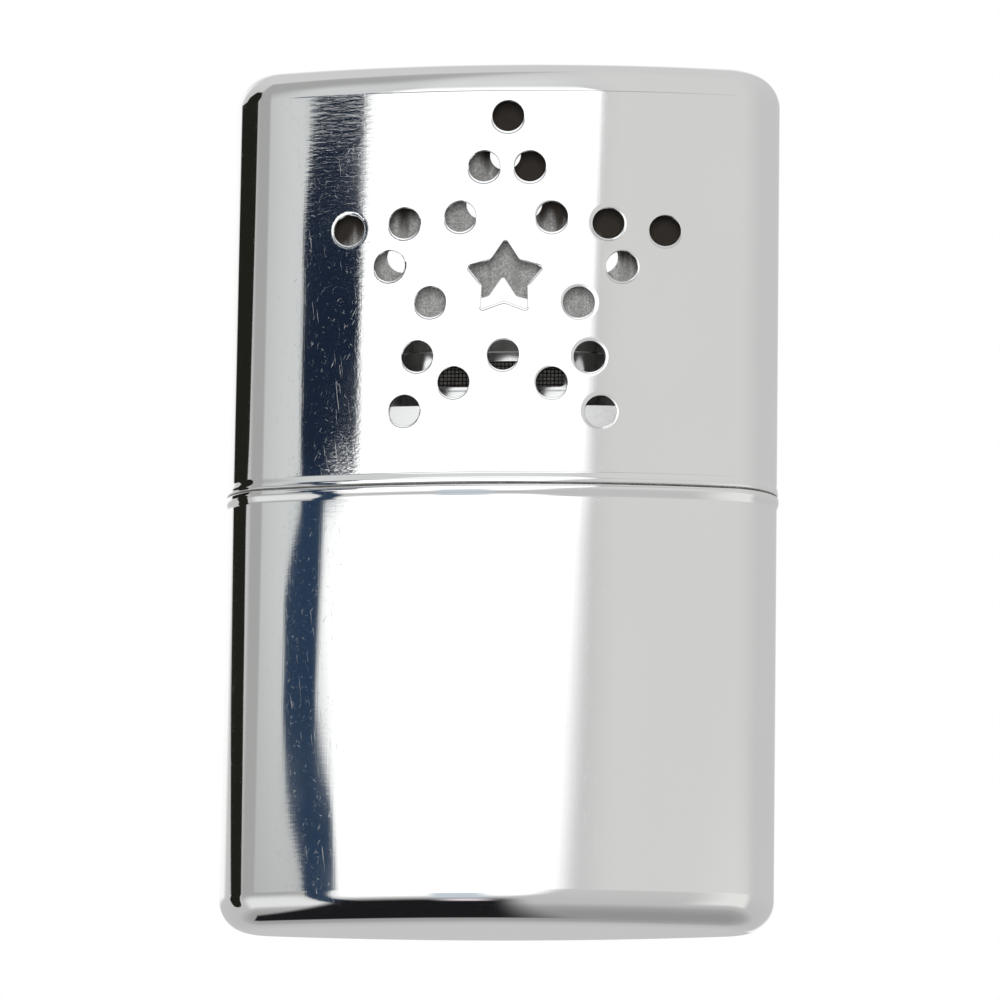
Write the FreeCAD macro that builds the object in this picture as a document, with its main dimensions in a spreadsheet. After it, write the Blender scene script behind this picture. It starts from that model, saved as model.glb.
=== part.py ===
import FreeCAD, Part
import math
import os
import re

import Sketcher

# Catalytic hand warmer: a chromed pocket case in two halves. The lower half is the fuel tank, packed with
# cotton. Its collar stands above the seam and guides the lid, whose walls are punched with a star of vents.
# Under the lid a burner with a glass-fibre catalyst sits on the tank's filler neck.
#
# Frame: Z is up through the lid, X runs along the width and the front face looks towards -Y.
# The origin is the middle of the base. All lengths are millimetres and all angles degrees.

SIZES = {
    # Lens-shaped plan that the lid and the case share
    "body_width": 66.0,
    "body_thickness": 19.2,
    "side_radius": 6.5,
    "body_height": 104.8,
    # Lower case, which is the wall of the tank
    "case_height": 52.3,
    "case_wall": 0.6,
    "case_bottom_radius": 2.2,
    "rim_height": 1.3,
    "rim_swell": 0.22,
    "edge_break": 0.15,
    # Lid
    "lid_wall": 0.45,
    "lid_top_radius": 2.5,
    "lid_clearance": 0.15,
    # Star of vents, punched through each face of the lid in a stroke of its own. The margin is the metal
    # over its top vent, and the corner ratio is how far out its corners lie, against its points
    "star_drop": 1.1,
    "star_margin": 5.5,
    "star_points": 5,
    "star_corner_ratio": 0.469,
    "star_tilt": 0.4,
    "star_shift_front": 0.8,
    "star_shift_back": -1.2,
    "vent_radius": 1.9,
    "cutout_tip_radius": 4.85,
    "cutout_notch_radius": 2.85,
    "cutout_tip_round": 0.3,
    "cutout_notch_round": 0.6,
    # Tank top: the collar and the deck sunk inside it
    "collar_height": 9.8,
    "collar_seat": 4.0,
    "collar_wall": 0.5,
    "deck_recess": 3.6,
    "deck_thickness": 0.6,
    "deck_corner_bevel": 0.6,
    # Filler neck with its retainer
    "neck_length": 24.0,
    "neck_width": 7.0,
    "neck_wall": 0.5,
    "neck_height": 5.4,
    "flange_width": 1.2,
    "flange_thickness": 0.5,
    "gauze_thickness": 0.4,
    # Soft filling of the tank
    "felt_thickness": 3.0,
    "filling_clearance": 0.3,
    "wadding_bevel": 1.5,
    # Burner
    "slip_clearance": 0.1,
    "seat_clearance": 0.05,
    "skirt_wall": 0.4,
    "skirt_height": 6.5,
    "shelf_width": 1.2,
    "shelf_thickness": 0.4,
    "screen_thickness": 0.25,
    "hood_wall": 0.45,
    "hood_lap": 0.15,
    "hood_tab_drop": 2.2,
    "hood_tab_reach": 4.5,
    "window_margin": 0.75,
    "window_height": 3.1,
    "window_sill": 0.42,
    "window_corner_radius": 0.6,
    "brow_height": 1.3,
    "brow_step": 0.7,
    "brow_bevel": 0.25,
    "dome_height": 3.7,
    "dome_round": 2.4,
    "mesh_thickness": 0.25,
    "mesh_margin": 0.45,
    "mesh_pitch": 1.25,
    "mesh_wire": 0.35,
    "pad_bevel": 0.6,
    # Openings of the gauze in the neck's foot and of the burner's screen
    "gauze_pitch": 1.7,
    "gauze_wire": 0.6,
}

document = FreeCAD.newDocument("catalytic_hand_warmer")
sheet = document.addObject("Spreadsheet::Sheet", "Sizes")
for row, (alias, value) in enumerate(SIZES.items(), start=1):
    sheet.set(f"A{row}", alias)
    sheet.set(f"B{row}", str(value))
    sheet.setAlias(f"B{row}", alias)
document.recompute()

NEAR = 0.001


# How the sketcher numbers the points of a curve, and the sketch's own axes

START, END, CENTRE = range(1, 4)
HORIZONTAL_AXIS, VERTICAL_AXIS = range(-1, -3, -1)
ORIGIN = (HORIZONTAL_AXIS, START)

# Formulas of the sizes, level by level up the stack

LID_HEIGHT = "(body_height - case_height)"
STAR_RISE = f"({LID_HEIGHT} / 2 - star_drop)"
POINT_RADIUS = f"({LID_HEIGHT} - {STAR_RISE} - vent_radius - star_margin)"
CORNER_RADIUS = f"({POINT_RADIUS} * star_corner_ratio)"
COLLAR_INSET = "(lid_wall + lid_clearance)"
COLLAR_BORE_INSET = "(lid_wall + lid_clearance + collar_wall)"
DECK_LEVEL = "(collar_height - deck_recess)"
DECK_TOP = f"(case_height + {DECK_LEVEL})"
NECK_BORE_LENGTH = "(neck_length - 2 * neck_wall)"
NECK_BORE_WIDTH = "(neck_width - 2 * neck_wall)"
FLANGE_BASE = f"({DECK_TOP} - deck_thickness - flange_thickness)"
FELT_BASE = f"({FLANGE_BASE} - felt_thickness)"
WADDING_BASE = "(case_wall + filling_clearance)"
FILLING_INSET = f"({COLLAR_BORE_INSET} + filling_clearance)"
SKIRT_BORE_LENGTH = "(neck_length + 2 * slip_clearance)"
SKIRT_BORE_WIDTH = "(neck_width + 2 * slip_clearance)"
SHELF_BORE_LENGTH = f"({SKIRT_BORE_LENGTH} - 2 * shelf_width)"
SHELF_BORE_WIDTH = f"({SKIRT_BORE_WIDTH} - 2 * shelf_width)"
SKIRT_LENGTH = f"({SKIRT_BORE_LENGTH} + 2 * skirt_wall)"
SKIRT_WIDTH = f"({SKIRT_BORE_WIDTH} + 2 * skirt_wall)"
SKIRT_TOP = f"({DECK_TOP} + skirt_height)"
SCREEN_TOP = f"({SKIRT_TOP} + screen_thickness)"
HOOD_BORE_LENGTH = f"({SKIRT_LENGTH} + 2 * seat_clearance)"
HOOD_BORE_WIDTH = f"({SKIRT_WIDTH} + 2 * seat_clearance)"
HOOD_LENGTH = f"({HOOD_BORE_LENGTH} + 2 * hood_wall)"
HOOD_WIDTH = f"({HOOD_BORE_WIDTH} + 2 * hood_wall)"
HOOD_FOOT = f"({SKIRT_TOP} - hood_lap - hood_tab_drop)"
WINDOW_BASE = "(hood_tab_drop + window_sill)"
WINDOW_TOP = f"({WINDOW_BASE} + window_height)"
BROW_TOP = f"({WINDOW_TOP} + brow_height)"
HOOD_BORE_TOP = f"({BROW_TOP} - hood_wall)"
MESH_HEIGHT = f"({HOOD_FOOT} + {HOOD_BORE_TOP} - {SCREEN_TOP})"
WINDOW_LENGTH = f"({HOOD_BORE_LENGTH} - {HOOD_BORE_WIDTH} - 2 * window_margin)"
MESH_LENGTH = f"({WINDOW_LENGTH} + 2 * mesh_margin)"
PAD_WIDTH = f"({HOOD_BORE_WIDTH} - 2 * mesh_thickness - 2 * seat_clearance)"
PAD_LENGTH = f"({HOOD_BORE_LENGTH} - 2 * mesh_thickness - 2 * seat_clearance)"

# Size of a bevel that touches a rounding in its middle, against the rounding's radius

BEVEL_RATIO = "(2 - sqrt(2))"


def formula(text):
    """The text with each size's name pointed at its cell, as the document's expressions want it."""
    return re.sub(r"[a-z_]+", lambda name: "Sizes." + name[0] if name[0] in SIZES else name[0], str(text))


def number(text):
    """What a formula of the sizes comes to."""
    return float(sheet.evalExpression(formula(text)))


def bind(thing, name, text):
    """Ties a property of a document object to a formula of the sizes."""
    thing.setExpression(name, formula(text))


# Bodies and sketches

def new_body(label, height):
    """An empty body whose local origin stands on the Z axis at the height."""
    body = document.addObject("PartDesign::Body", label)
    body.Label = label
    bind(body, "Placement.Base.z", height)
    return body


def new_sketch(body, role, shift_x="0", shift_y="0", level="0", turn="0"):
    """A sketch on one of the body's own origin planes, shifted and turned within that plane."""
    sketch = body.newObject("Sketcher::SketchObject", body.Name + "_sketch")
    plane = next(feature for feature in body.Origin.OriginFeatures if feature.Role == role)
    sketch.AttachmentSupport = [(plane, "")]
    sketch.MapMode = "FlatFace"
    bind(sketch, "AttachmentOffset.Base.x", shift_x)
    bind(sketch, "AttachmentOffset.Base.y", shift_y)
    bind(sketch, "AttachmentOffset.Base.z", level)
    bind(sketch, "AttachmentOffset.Rotation.Angle", turn)
    return sketch


def hold(sketch, kind, *places):
    """Adds a constraint to the sketch and gives its place in the sketch's list."""
    return sketch.addConstraint(Sketcher.Constraint(kind, *places))


def dimension(sketch, text, kind, *places):
    """A sketch dimension held to a formula of the sizes."""
    index = hold(sketch, kind, *places, number(text))
    bind(sketch, f"Constraints[{index}]", text)


def point(x, y):
    return FreeCAD.Vector(x, y, 0)


def add_circle(sketch, centre, radius, guide=False):
    circle = Part.Circle(centre, FreeCAD.Vector(0, 0, 1), radius)
    return sketch.addGeometry(circle, guide)


def add_arc(sketch, centre, radius, start_degrees, end_degrees):
    circle = Part.Circle(centre, FreeCAD.Vector(0, 0, 1), radius)
    arc = Part.ArcOfCircle(circle, math.radians(start_degrees), math.radians(end_degrees))
    return sketch.addGeometry(arc)


def add_line(sketch, start, end, guide=False):
    return sketch.addGeometry(Part.LineSegment(start, end), guide)


def add_loop(sketch, corners):
    """A closed chain of straight lines through the corners."""
    lines = []
    for here, following in zip(corners, corners[1:] + corners[:1]):
        lines.append(add_line(sketch, here, following))
    for here, following in zip(lines, lines[1:] + lines[:1]):
        hold(sketch, "Coincident", here, END, following, START)
    return lines


def join_tangent(sketch, chain):
    """Makes each curve of a closed chain run smoothly into the next."""
    for here, following in zip(chain, chain[1:] + chain[:1]):
        hold(sketch, "Tangent", here, END, following, START)


def centre_ends(sketch, right, left):
    """Sets the two end arcs of an outline alike, on the X axis, one each side of the origin."""
    hold(sketch, "Equal", right, left)
    hold(sketch, "PointOnObject", right, CENTRE, HORIZONTAL_AXIS)
    hold(sketch, "Symmetric", right, CENTRE, left, CENTRE, *ORIGIN)


def lens_sketch(body, inset="0", level="0"):
    """The plan of both halves, brought in by the inset: shallow arcs front and back, and rounded sides."""
    sketch = new_sketch(body, "XY_Plane", level=level)
    half_thickness_text = f"(body_thickness / 2 - {inset})"
    side_radius_text = f"(side_radius - {inset})"
    side_centre_text = "(body_width / 2 - side_radius)"
    half_thickness = number(half_thickness_text)
    side_radius = number(side_radius_text)
    side_centre = number(side_centre_text)
    bulge = half_thickness - side_radius
    face_radius = (side_centre**2 + half_thickness**2 - side_radius**2) / (2 * bulge)
    face_centre = face_radius - half_thickness
    lean = math.degrees(math.atan2(side_centre, face_centre))
    front = add_arc(sketch, point(0, face_centre), face_radius, 270 - lean, 270 + lean)
    right = add_arc(sketch, point(side_centre, 0), side_radius, lean - 90, 90 - lean)
    back = add_arc(sketch, point(0, -face_centre), face_radius, 90 - lean, 90 + lean)
    left = add_arc(sketch, point(-side_centre, 0), side_radius, 90 + lean, 270 - lean)
    crown = sketch.addGeometry(Part.Point(point(0, -half_thickness)), True)
    join_tangent(sketch, [front, right, back, left])
    centre_ends(sketch, right, left)
    hold(sketch, "Equal", front, back)
    hold(sketch, "PointOnObject", crown, START, front)
    hold(sketch, "PointOnObject", crown, START, VERTICAL_AXIS)
    dimension(sketch, side_radius_text, "Radius", right)
    dimension(sketch, side_centre_text, "DistanceX", *ORIGIN, right, CENTRE)
    dimension(sketch, half_thickness_text, "DistanceY", crown, START, *ORIGIN)
    return sketch


def oval_sketch(body, length, width, level="0"):
    """A straight-sided oval along X, with half-round ends."""
    sketch = new_sketch(body, "XY_Plane", level=level)
    end_radius = number(f"{width} / 2")
    end_centre = number(f"({length} - {width}) / 2")
    front = add_line(sketch, point(-end_centre, -end_radius), point(end_centre, -end_radius))
    right = add_arc(sketch, point(end_centre, 0), end_radius, -90, 90)
    back = add_line(sketch, point(end_centre, end_radius), point(-end_centre, end_radius))
    left = add_arc(sketch, point(-end_centre, 0), end_radius, 90, 270)
    join_tangent(sketch, [front, right, back, left])
    centre_ends(sketch, right, left)
    dimension(sketch, f"{width} / 2", "Radius", right)
    dimension(sketch, f"({length} - {width}) / 2", "DistanceX", *ORIGIN, right, CENTRE)
    return sketch


def box_sketch(body, length, height, shift_x="0", base="0", role="XZ_Plane", level="0"):
    """A rectangle with its lower side at the base, upright unless another plane is given."""
    sketch = new_sketch(body, role, shift_x=shift_x, shift_y=base, level=level)
    half = number(length) / 2
    top = number(height)
    corners = [point(-half, 0), point(half, 0), point(half, top), point(-half, top)]
    bottom, right, lintel, left = add_loop(sketch, corners)
    hold(sketch, "Symmetric", bottom, START, bottom, END, *ORIGIN)
    hold(sketch, "Horizontal", bottom)
    hold(sketch, "Horizontal", lintel)
    hold(sketch, "Vertical", right)
    hold(sketch, "Vertical", left)
    dimension(sketch, length, "DistanceX", bottom, START, bottom, END)
    dimension(sketch, height, "DistanceY", right, START, right, END)
    return sketch


# Features, each checked to have added or taken away material

def add_feature(body, kind, growth, sizes, **settings):
    """Adds a feature, and stops if the body doesn't grow (growth 1) or shrink (growth -1) by it."""
    before = body.Shape.Volume if body.Tip else 0.0
    feature = body.newObject("PartDesign::" + kind, f"{body.Name}_{kind.lower()}")
    for name, setting in settings.items():
        setattr(feature, name, setting)
    for name, text in sizes.items():
        bind(feature, name, text)
    body.Tip = feature
    document.recompute()
    if (body.Shape.Volume - before) * growth <= 0:
        raise RuntimeError(f"{feature.Name} leaves {body.Label} as it was")
    return feature


def pad(body, sketch, length):
    return add_feature(body, "Pad", 1, {"Length": length}, Profile=sketch)


def pocket(body, sketch, length, upwards=False):
    """Cuts the sketch down into the body, or up into it from below."""
    return add_feature(body, "Pocket", -1, {"Length": length}, Profile=sketch, Reversed=upwards)


def pocket_through(body, sketch, to_front=False, side="One side"):
    """Cuts the sketch right through, down or to the back, to the front, or both ways if symmetric."""
    settings = {"Profile": sketch, "Type": "ThroughAll", "SideType": side, "Reversed": to_front}
    return add_feature(body, "Pocket", -1, {}, **settings)


def fillet(body, radius, picks, growth=-1):
    """Rounds each edge of the body that the picks function accepts."""
    feature = body.Tip
    names = [f"Edge{place}" for place, edge in enumerate(feature.Shape.Edges, start=1) if picks(edge)]
    return add_feature(body, "Fillet", growth, {"Radius": radius}, Base=(feature, names))


def chamfer(body, size, picks, growth=-1):
    """Breaks each edge of the body that the picks function accepts."""
    feature = body.Tip
    names = [f"Edge{place}" for place, edge in enumerate(feature.Shape.Edges, start=1) if picks(edge)]
    return add_feature(body, "Chamfer", growth, {"Size": size}, Base=(feature, names))


def repeat_round(body, feature, sketch):
    """Repeats a cut around its sketch's own origin, once for each point of the star."""
    pattern = body.newObject("PartDesign::PolarPattern", body.Name + "_polar")
    pattern.Originals = [feature]
    pattern.Axis = (sketch, ["N_Axis"])
    pattern.Angle = 360
    bind(pattern, "Occurrences", "star_points")
    body.Tip = pattern
    document.recompute()


def repeat_grid(body, feature, sketch, pitch, columns, rows):
    """Repeats a cut along both of its sketch's axes, a pitch apart."""
    pattern = body.newObject("PartDesign::LinearPattern", body.Name + "_grid")
    pattern.Originals = [feature]
    pattern.Direction = (sketch, ["H_Axis"])
    pattern.Direction2 = (sketch, ["V_Axis"])
    bind(pattern, "Length", f"{pitch} * ({columns} - 1)")
    bind(pattern, "Length2", f"{pitch} * ({rows} - 1)")
    bind(pattern, "Occurrences", columns)
    bind(pattern, "Occurrences2", rows)
    body.Tip = pattern
    document.recompute()


def lies_at(height):
    """Accepts edges that lie flat at a local height."""
    level = number(height)
    return lambda edge: abs(edge.BoundBox.ZMin - level) < NEAR and abs(edge.BoundBox.ZMax - level) < NEAR


def stands_proud(edge):
    """Whether an edge reaches past the case's plain plan."""
    box = edge.BoundBox
    past_side = max(box.XMax, -box.XMin) > number("body_width / 2") + NEAR
    past_face = max(box.YMax, -box.YMin) > number("body_thickness / 2") + NEAR
    return past_side or past_face


def runs_along_y(edge):
    """Whether an edge is a straight line parallel to Y."""
    box = edge.BoundBox
    return box.XLength < NEAR and box.ZLength < NEAR and box.YLength > NEAR


# Lid

def star_plane(body, shift):
    """A sketch in the lid's middle plane, centred on the star and with its Y axis through a point."""
    return new_sketch(body, "XZ_Plane", shift_x=shift, shift_y=STAR_RISE, turn="-star_tilt")


def cutout_sketch(body, shift):
    """The small star in the middle: tips and notches in turn, on two circles, with equal sides."""
    sketch = star_plane(body, shift)
    rings = ["cutout_tip_radius", "cutout_notch_radius"]
    circles = []
    for ring in rings:
        circle = add_circle(sketch, point(0, 0), number(ring), guide=True)
        hold(sketch, "Coincident", circle, CENTRE, *ORIGIN)
        dimension(sketch, ring, "Radius", circle)
        circles.append(circle)
    corners = []
    for step in range(2 * int(number("star_points"))):
        angle = math.pi / 2 + step * math.pi / number("star_points")
        radius = number(rings[step % 2])
        corners.append(point(radius * math.cos(angle), radius * math.sin(angle)))
    sides = add_loop(sketch, corners)
    for place, side in enumerate(sides):
        hold(sketch, "PointOnObject", side, START, circles[place % 2])
    for side in sides[1:]:
        hold(sketch, "Equal", sides[0], side)
    hold(sketch, "PointOnObject", sides[0], START, VERTICAL_AXIS)
    return sketch


def vent_sketch(body, shift):
    """One point of the star: vents at its tip, in the corner beside it and halfway down each side."""
    sketch = star_plane(body, shift)
    sector = math.pi / number("star_points")
    tip = point(0, number(POINT_RADIUS))
    corner_radius = number(CORNER_RADIUS)
    corner = point(corner_radius * math.sin(sector), corner_radius * math.cos(sector))
    mirrored = point(-corner.x, corner.y)
    centres = [tip, corner, (tip + corner) / 2, (tip + mirrored) / 2]
    vents = [add_circle(sketch, centre, number("vent_radius")) for centre in centres]
    tip_vent, corner_vent, right_vent, left_vent = vents
    far_corner = sketch.addGeometry(Part.Point(mirrored), True)
    upright = add_line(sketch, point(0, 0), tip, guide=True)
    spoke = add_line(sketch, point(0, 0), corner, guide=True)
    hold(sketch, "Vertical", upright)
    hold(sketch, "Coincident", upright, START, *ORIGIN)
    hold(sketch, "Coincident", upright, END, tip_vent, CENTRE)
    hold(sketch, "Coincident", spoke, START, *ORIGIN)
    hold(sketch, "Coincident", spoke, END, corner_vent, CENTRE)
    hold(sketch, "Symmetric", corner_vent, CENTRE, far_corner, START, VERTICAL_AXIS)
    hold(sketch, "Symmetric", tip_vent, CENTRE, corner_vent, CENTRE, right_vent, CENTRE)
    hold(sketch, "Symmetric", tip_vent, CENTRE, far_corner, START, left_vent, CENTRE)
    for vent in vents[1:]:
        hold(sketch, "Equal", tip_vent, vent)
    dimension(sketch, "vent_radius", "Radius", tip_vent)
    dimension(sketch, POINT_RADIUS, "Distance", upright)
    dimension(sketch, CORNER_RADIUS, "Distance", spoke)
    angle = hold(sketch, "Angle", spoke, START, upright, START, sector)
    bind(sketch, f"Constraints[{angle}]", "180 / star_points")
    return sketch


def cutout_corner(ring):
    """Accepts the straight edges that run through the lid's walls at the cut-outs' tips or notches."""
    centre_height = number(STAR_RISE)
    ring_radius = number(ring)
    shifts = {True: number("star_shift_front"), False: number("star_shift_back")}

    def picks(edge):
        middle = edge.BoundBox.Center
        distance = math.hypot(middle.x - shifts[middle.y < 0], middle.z - centre_height)
        return runs_along_y(edge) and abs(distance - ring_radius) < NEAR

    return picks


def make_lid():
    """Deep-drawn lid, open below, with the same star punched in its front and its back."""
    body = new_body("lid", "case_height")
    pad(body, lens_sketch(body), LID_HEIGHT)
    chamfer(body, "edge_break", lies_at("0"))
    pocket(body, lens_sketch(body, inset="lid_wall"), f"{LID_HEIGHT} - lid_wall", upwards=True)
    bevel = f"{BEVEL_RATIO} * (lid_top_radius - lid_wall)"
    chamfer(body, bevel, lies_at(f"{LID_HEIGHT} - lid_wall"), growth=1)
    fillet(body, "lid_top_radius", lies_at(LID_HEIGHT))
    strokes = [("star_shift_front", True), ("star_shift_back", False)]
    for shift, to_front in strokes:
        pocket_through(body, cutout_sketch(body, shift), to_front)
    fillet(body, "cutout_tip_round", cutout_corner("cutout_tip_radius"), growth=1)
    fillet(body, "cutout_notch_round", cutout_corner("cutout_notch_radius"))
    for shift, to_front in strokes:
        sketch = vent_sketch(body, shift)
        repeat_round(body, pocket_through(body, sketch, to_front), sketch)
    return body


# Tank

def make_tank_case():
    """Deep-drawn lower shell, with a mouth that swells a little where the collar is pressed in."""
    body = new_body("tank_case", "0")
    pad(body, lens_sketch(body), "case_height")
    rim_base = "(case_height - rim_height)"
    pad(body, lens_sketch(body, inset="(0 - rim_swell)", level=rim_base), "rim_height")
    chamfer(body, "edge_break", lies_at("case_height"))
    chamfer(body, "edge_break", lambda edge: lies_at(rim_base)(edge) and stands_proud(edge))
    pocket(body, lens_sketch(body, inset="case_wall", level="case_height"), "case_height - case_wall")
    bevel = f"{BEVEL_RATIO} * (case_bottom_radius - case_wall)"
    chamfer(body, bevel, lies_at("case_wall"), growth=1)
    fillet(body, "case_bottom_radius", lies_at("0"))
    return body


def make_tank_top():
    """The collar, pressed into the case's mouth, and the deck across it with the hole for the neck."""
    body = new_body("tank_top", "case_height")
    seat_base = "(0 - collar_seat)"
    pad(body, lens_sketch(body, inset="case_wall", level=seat_base), "collar_seat")
    pad(body, lens_sketch(body, inset=COLLAR_INSET), "collar_height")
    chamfer(body, "edge_break", lies_at("collar_height"))
    pocket(body, lens_sketch(body, inset=COLLAR_BORE_INSET, level="collar_height"), "deck_recess")
    chamfer(body, "deck_corner_bevel", lies_at(DECK_LEVEL), growth=1)
    below_deck = f"({DECK_LEVEL} - deck_thickness)"
    bore = lens_sketch(body, inset=COLLAR_BORE_INSET, level=seat_base)
    pocket(body, bore, f"{below_deck} + collar_seat", upwards=True)
    pocket(body, oval_sketch(body, "neck_length", "neck_width", level=DECK_LEVEL), "deck_thickness")
    return body


def make_filler_neck():
    """Oval tube through the deck, held from below by a flange. Fuel goes in here."""
    body = new_body("filler_neck", FLANGE_BASE)
    flange_length = "(neck_length + 2 * flange_width)"
    flange_reach = "(neck_width + 2 * flange_width)"
    pad(body, oval_sketch(body, flange_length, flange_reach), "flange_thickness")
    tube_height = "(deck_thickness + neck_height)"
    pad(body, oval_sketch(body, "neck_length", "neck_width", level="flange_thickness"), tube_height)
    mouth = f"(flange_thickness + {tube_height})"
    pocket_through(body, oval_sketch(body, NECK_BORE_LENGTH, NECK_BORE_WIDTH, level=mouth))
    chamfer(body, "edge_break", lies_at(mouth))
    return body


def make_gauze_plate(label, base, margin, length, width, thickness):
    """Thin oval plate that covers an oval opening by a margin, with a grid of square openings."""
    body = new_body(label, base)
    plate = oval_sketch(body, f"({length} + 2 * {margin})", f"({width} + 2 * {margin})")
    pad(body, plate, thickness)
    columns = f"floor(({length} - {width} - gauze_wire) / gauze_pitch)"
    rows = f"floor(({width} - gauze_wire) / gauze_pitch)"
    first_x = f"(0 - ({columns} - 1) * gauze_pitch / 2)"
    first_y = f"(gauze_wire / 2 - {rows} * gauze_pitch / 2)"
    cell = "(gauze_pitch - gauze_wire)"
    place = {"shift_x": first_x, "base": first_y, "role": "XY_Plane", "level": thickness}
    sketch = box_sketch(body, cell, cell, **place)
    repeat_grid(body, pocket_through(body, sketch), sketch, "gauze_pitch", columns, rows)
    return body


def make_neck_gauze():
    """Gauze in the neck's foot, which keeps the cotton down."""
    margin = "(0 - seat_clearance)"
    return make_gauze_plate(
        "neck_gauze", FLANGE_BASE, margin, NECK_BORE_LENGTH, NECK_BORE_WIDTH, "gauze_thickness"
    )


def make_wadding_felt():
    """Felt layer between the cotton and the neck."""
    body = new_body("wadding_felt", FELT_BASE)
    pad(body, lens_sketch(body, inset=FILLING_INSET), "felt_thickness")
    return body


def make_tank_wadding():
    """Cotton wadding that fills the tank and soaks up the fuel."""
    body = new_body("tank_wadding", WADDING_BASE)
    pad(body, lens_sketch(body, inset=FILLING_INSET), f"{FELT_BASE} - {WADDING_BASE}")
    chamfer(body, "wadding_bevel", lies_at("0"))
    return body


# Burner

def make_burner_skirt():
    """Oval tube that slips over the neck, turned in at the top as a shelf for the screen."""
    body = new_body("burner_skirt", DECK_TOP)
    pad(body, oval_sketch(body, SKIRT_LENGTH, SKIRT_WIDTH), "skirt_height")
    bore = oval_sketch(body, SKIRT_BORE_LENGTH, SKIRT_BORE_WIDTH)
    pocket(body, bore, "skirt_height - shelf_thickness", upwards=True)
    pocket_through(body, oval_sketch(body, SHELF_BORE_LENGTH, SHELF_BORE_WIDTH, level="skirt_height"))
    return body


def make_burner_screen():
    """Gauze on the skirt's shelf, under the catalyst."""
    margin = "(shelf_width + skirt_wall)"
    return make_gauze_plate(
        "burner_screen", SKIRT_TOP, margin, SHELF_BORE_LENGTH, SHELF_BORE_WIDTH, "screen_thickness"
    )


def make_catalyst_pad():
    """Glass-fibre mat that carries the catalyst, held between the two meshes."""
    body = new_body("catalyst_pad", SCREEN_TOP)
    pad(body, oval_sketch(body, PAD_LENGTH, PAD_WIDTH), MESH_HEIGHT)
    chamfer(body, "pad_bevel", lies_at(MESH_HEIGHT))
    return body


def make_catalyst_mesh(label, side):
    """Wire mesh behind one of the hood's windows, as a plate with square openings."""
    body = new_body(label, SCREEN_TOP)
    bind(body, "Placement.Base.y", f"{side} * ({HOOD_BORE_WIDTH} - mesh_thickness) / 2")
    plate = box_sketch(body, MESH_LENGTH, MESH_HEIGHT)
    add_feature(body, "Pad", 1, {"Length": "mesh_thickness"}, Profile=plate, SideType="Symmetric")
    columns = f"floor(({MESH_LENGTH} - mesh_wire) / mesh_pitch)"
    rows = f"floor(({MESH_HEIGHT} - mesh_wire) / mesh_pitch)"
    first_x = f"(0 - ({columns} - 1) * mesh_pitch / 2)"
    first_z = f"({MESH_HEIGHT} / 2 - {rows} * mesh_pitch / 2 + mesh_wire / 2)"
    cell = "(mesh_pitch - mesh_wire)"
    sketch = box_sketch(body, cell, cell, shift_x=first_x, base=first_z)
    cut = pocket_through(body, sketch, side="Symmetric")
    repeat_grid(body, cut, sketch, "mesh_pitch", columns, rows)
    return body


def make_burner_hood():
    """Pressed housing with a window in its front and back, a brow over them and a rounded top."""
    body = new_body("burner_hood", HOOD_FOOT)
    pad(body, oval_sketch(body, HOOD_LENGTH, HOOD_WIDTH), BROW_TOP)
    chamfer(body, "brow_bevel", lies_at(BROW_TOP))
    dome_length = f"({HOOD_LENGTH} - 2 * brow_step)"
    dome_width = f"({HOOD_WIDTH} - 2 * brow_step)"
    pad(body, oval_sketch(body, dome_length, dome_width, level=BROW_TOP), "dome_height")
    pocket(body, oval_sketch(body, HOOD_BORE_LENGTH, HOOD_BORE_WIDTH), HOOD_BORE_TOP, upwards=True)
    attic_length = f"({dome_length} - 2 * hood_wall)"
    attic_width = f"({dome_width} - 2 * hood_wall)"
    attic = oval_sketch(body, attic_length, attic_width, level=HOOD_BORE_TOP)
    pocket(body, attic, "dome_height", upwards=True)
    bevel = f"{BEVEL_RATIO} * (dome_round - hood_wall)"
    chamfer(body, bevel, lies_at(f"{HOOD_BORE_TOP} + dome_height"), growth=1)
    fillet(body, "dome_round", lies_at(f"{BROW_TOP} + dome_height"))
    window = box_sketch(body, WINDOW_LENGTH, "window_height", base=WINDOW_BASE)
    pocket_through(body, window, side="Symmetric")
    sill_gap = f"({HOOD_LENGTH} - 2 * hood_tab_reach)"
    pocket_through(body, box_sketch(body, sill_gap, "hood_tab_drop"), side="Symmetric")
    fillet(body, "window_corner_radius", runs_along_y, growth=1)
    return body


def check_and_write(bodies):
    """Stops at any failed feature or bad solid, then writes each sub-part to its own file."""
    document.recompute()
    for thing in document.Objects:
        if {"Invalid", "Error"} & set(thing.State):
            raise RuntimeError(f"{thing.Label} has failed: {thing.State}")
    for body in bodies:
        if body.Shape.isNull() or not body.Shape.isValid():
            raise RuntimeError(f"{body.Label} isn't a valid solid")
    os.makedirs("parts", exist_ok=True)
    for body in bodies:
        body.Shape.exportStep(f"parts/{body.Label}.step")


check_and_write(
    [
        make_lid(),
        make_tank_case(),
        make_tank_top(),
        make_filler_neck(),
        make_neck_gauze(),
        make_wadding_felt(),
        make_tank_wadding(),
        make_burner_skirt(),
        make_burner_screen(),
        make_catalyst_pad(),
        make_catalyst_mesh("catalyst_mesh_front", -1),
        make_catalyst_mesh("catalyst_mesh_back", 1),
        make_burner_hood(),
    ]
)
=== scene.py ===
"""Dresses the catalytic hand warmer: chromed shells, punched vents, burner, studio and camera."""

import itertools
import math

import bpy
from mathutils import Matrix, Vector
from mathutils.geometry import delaunay_2d_cdt


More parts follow.
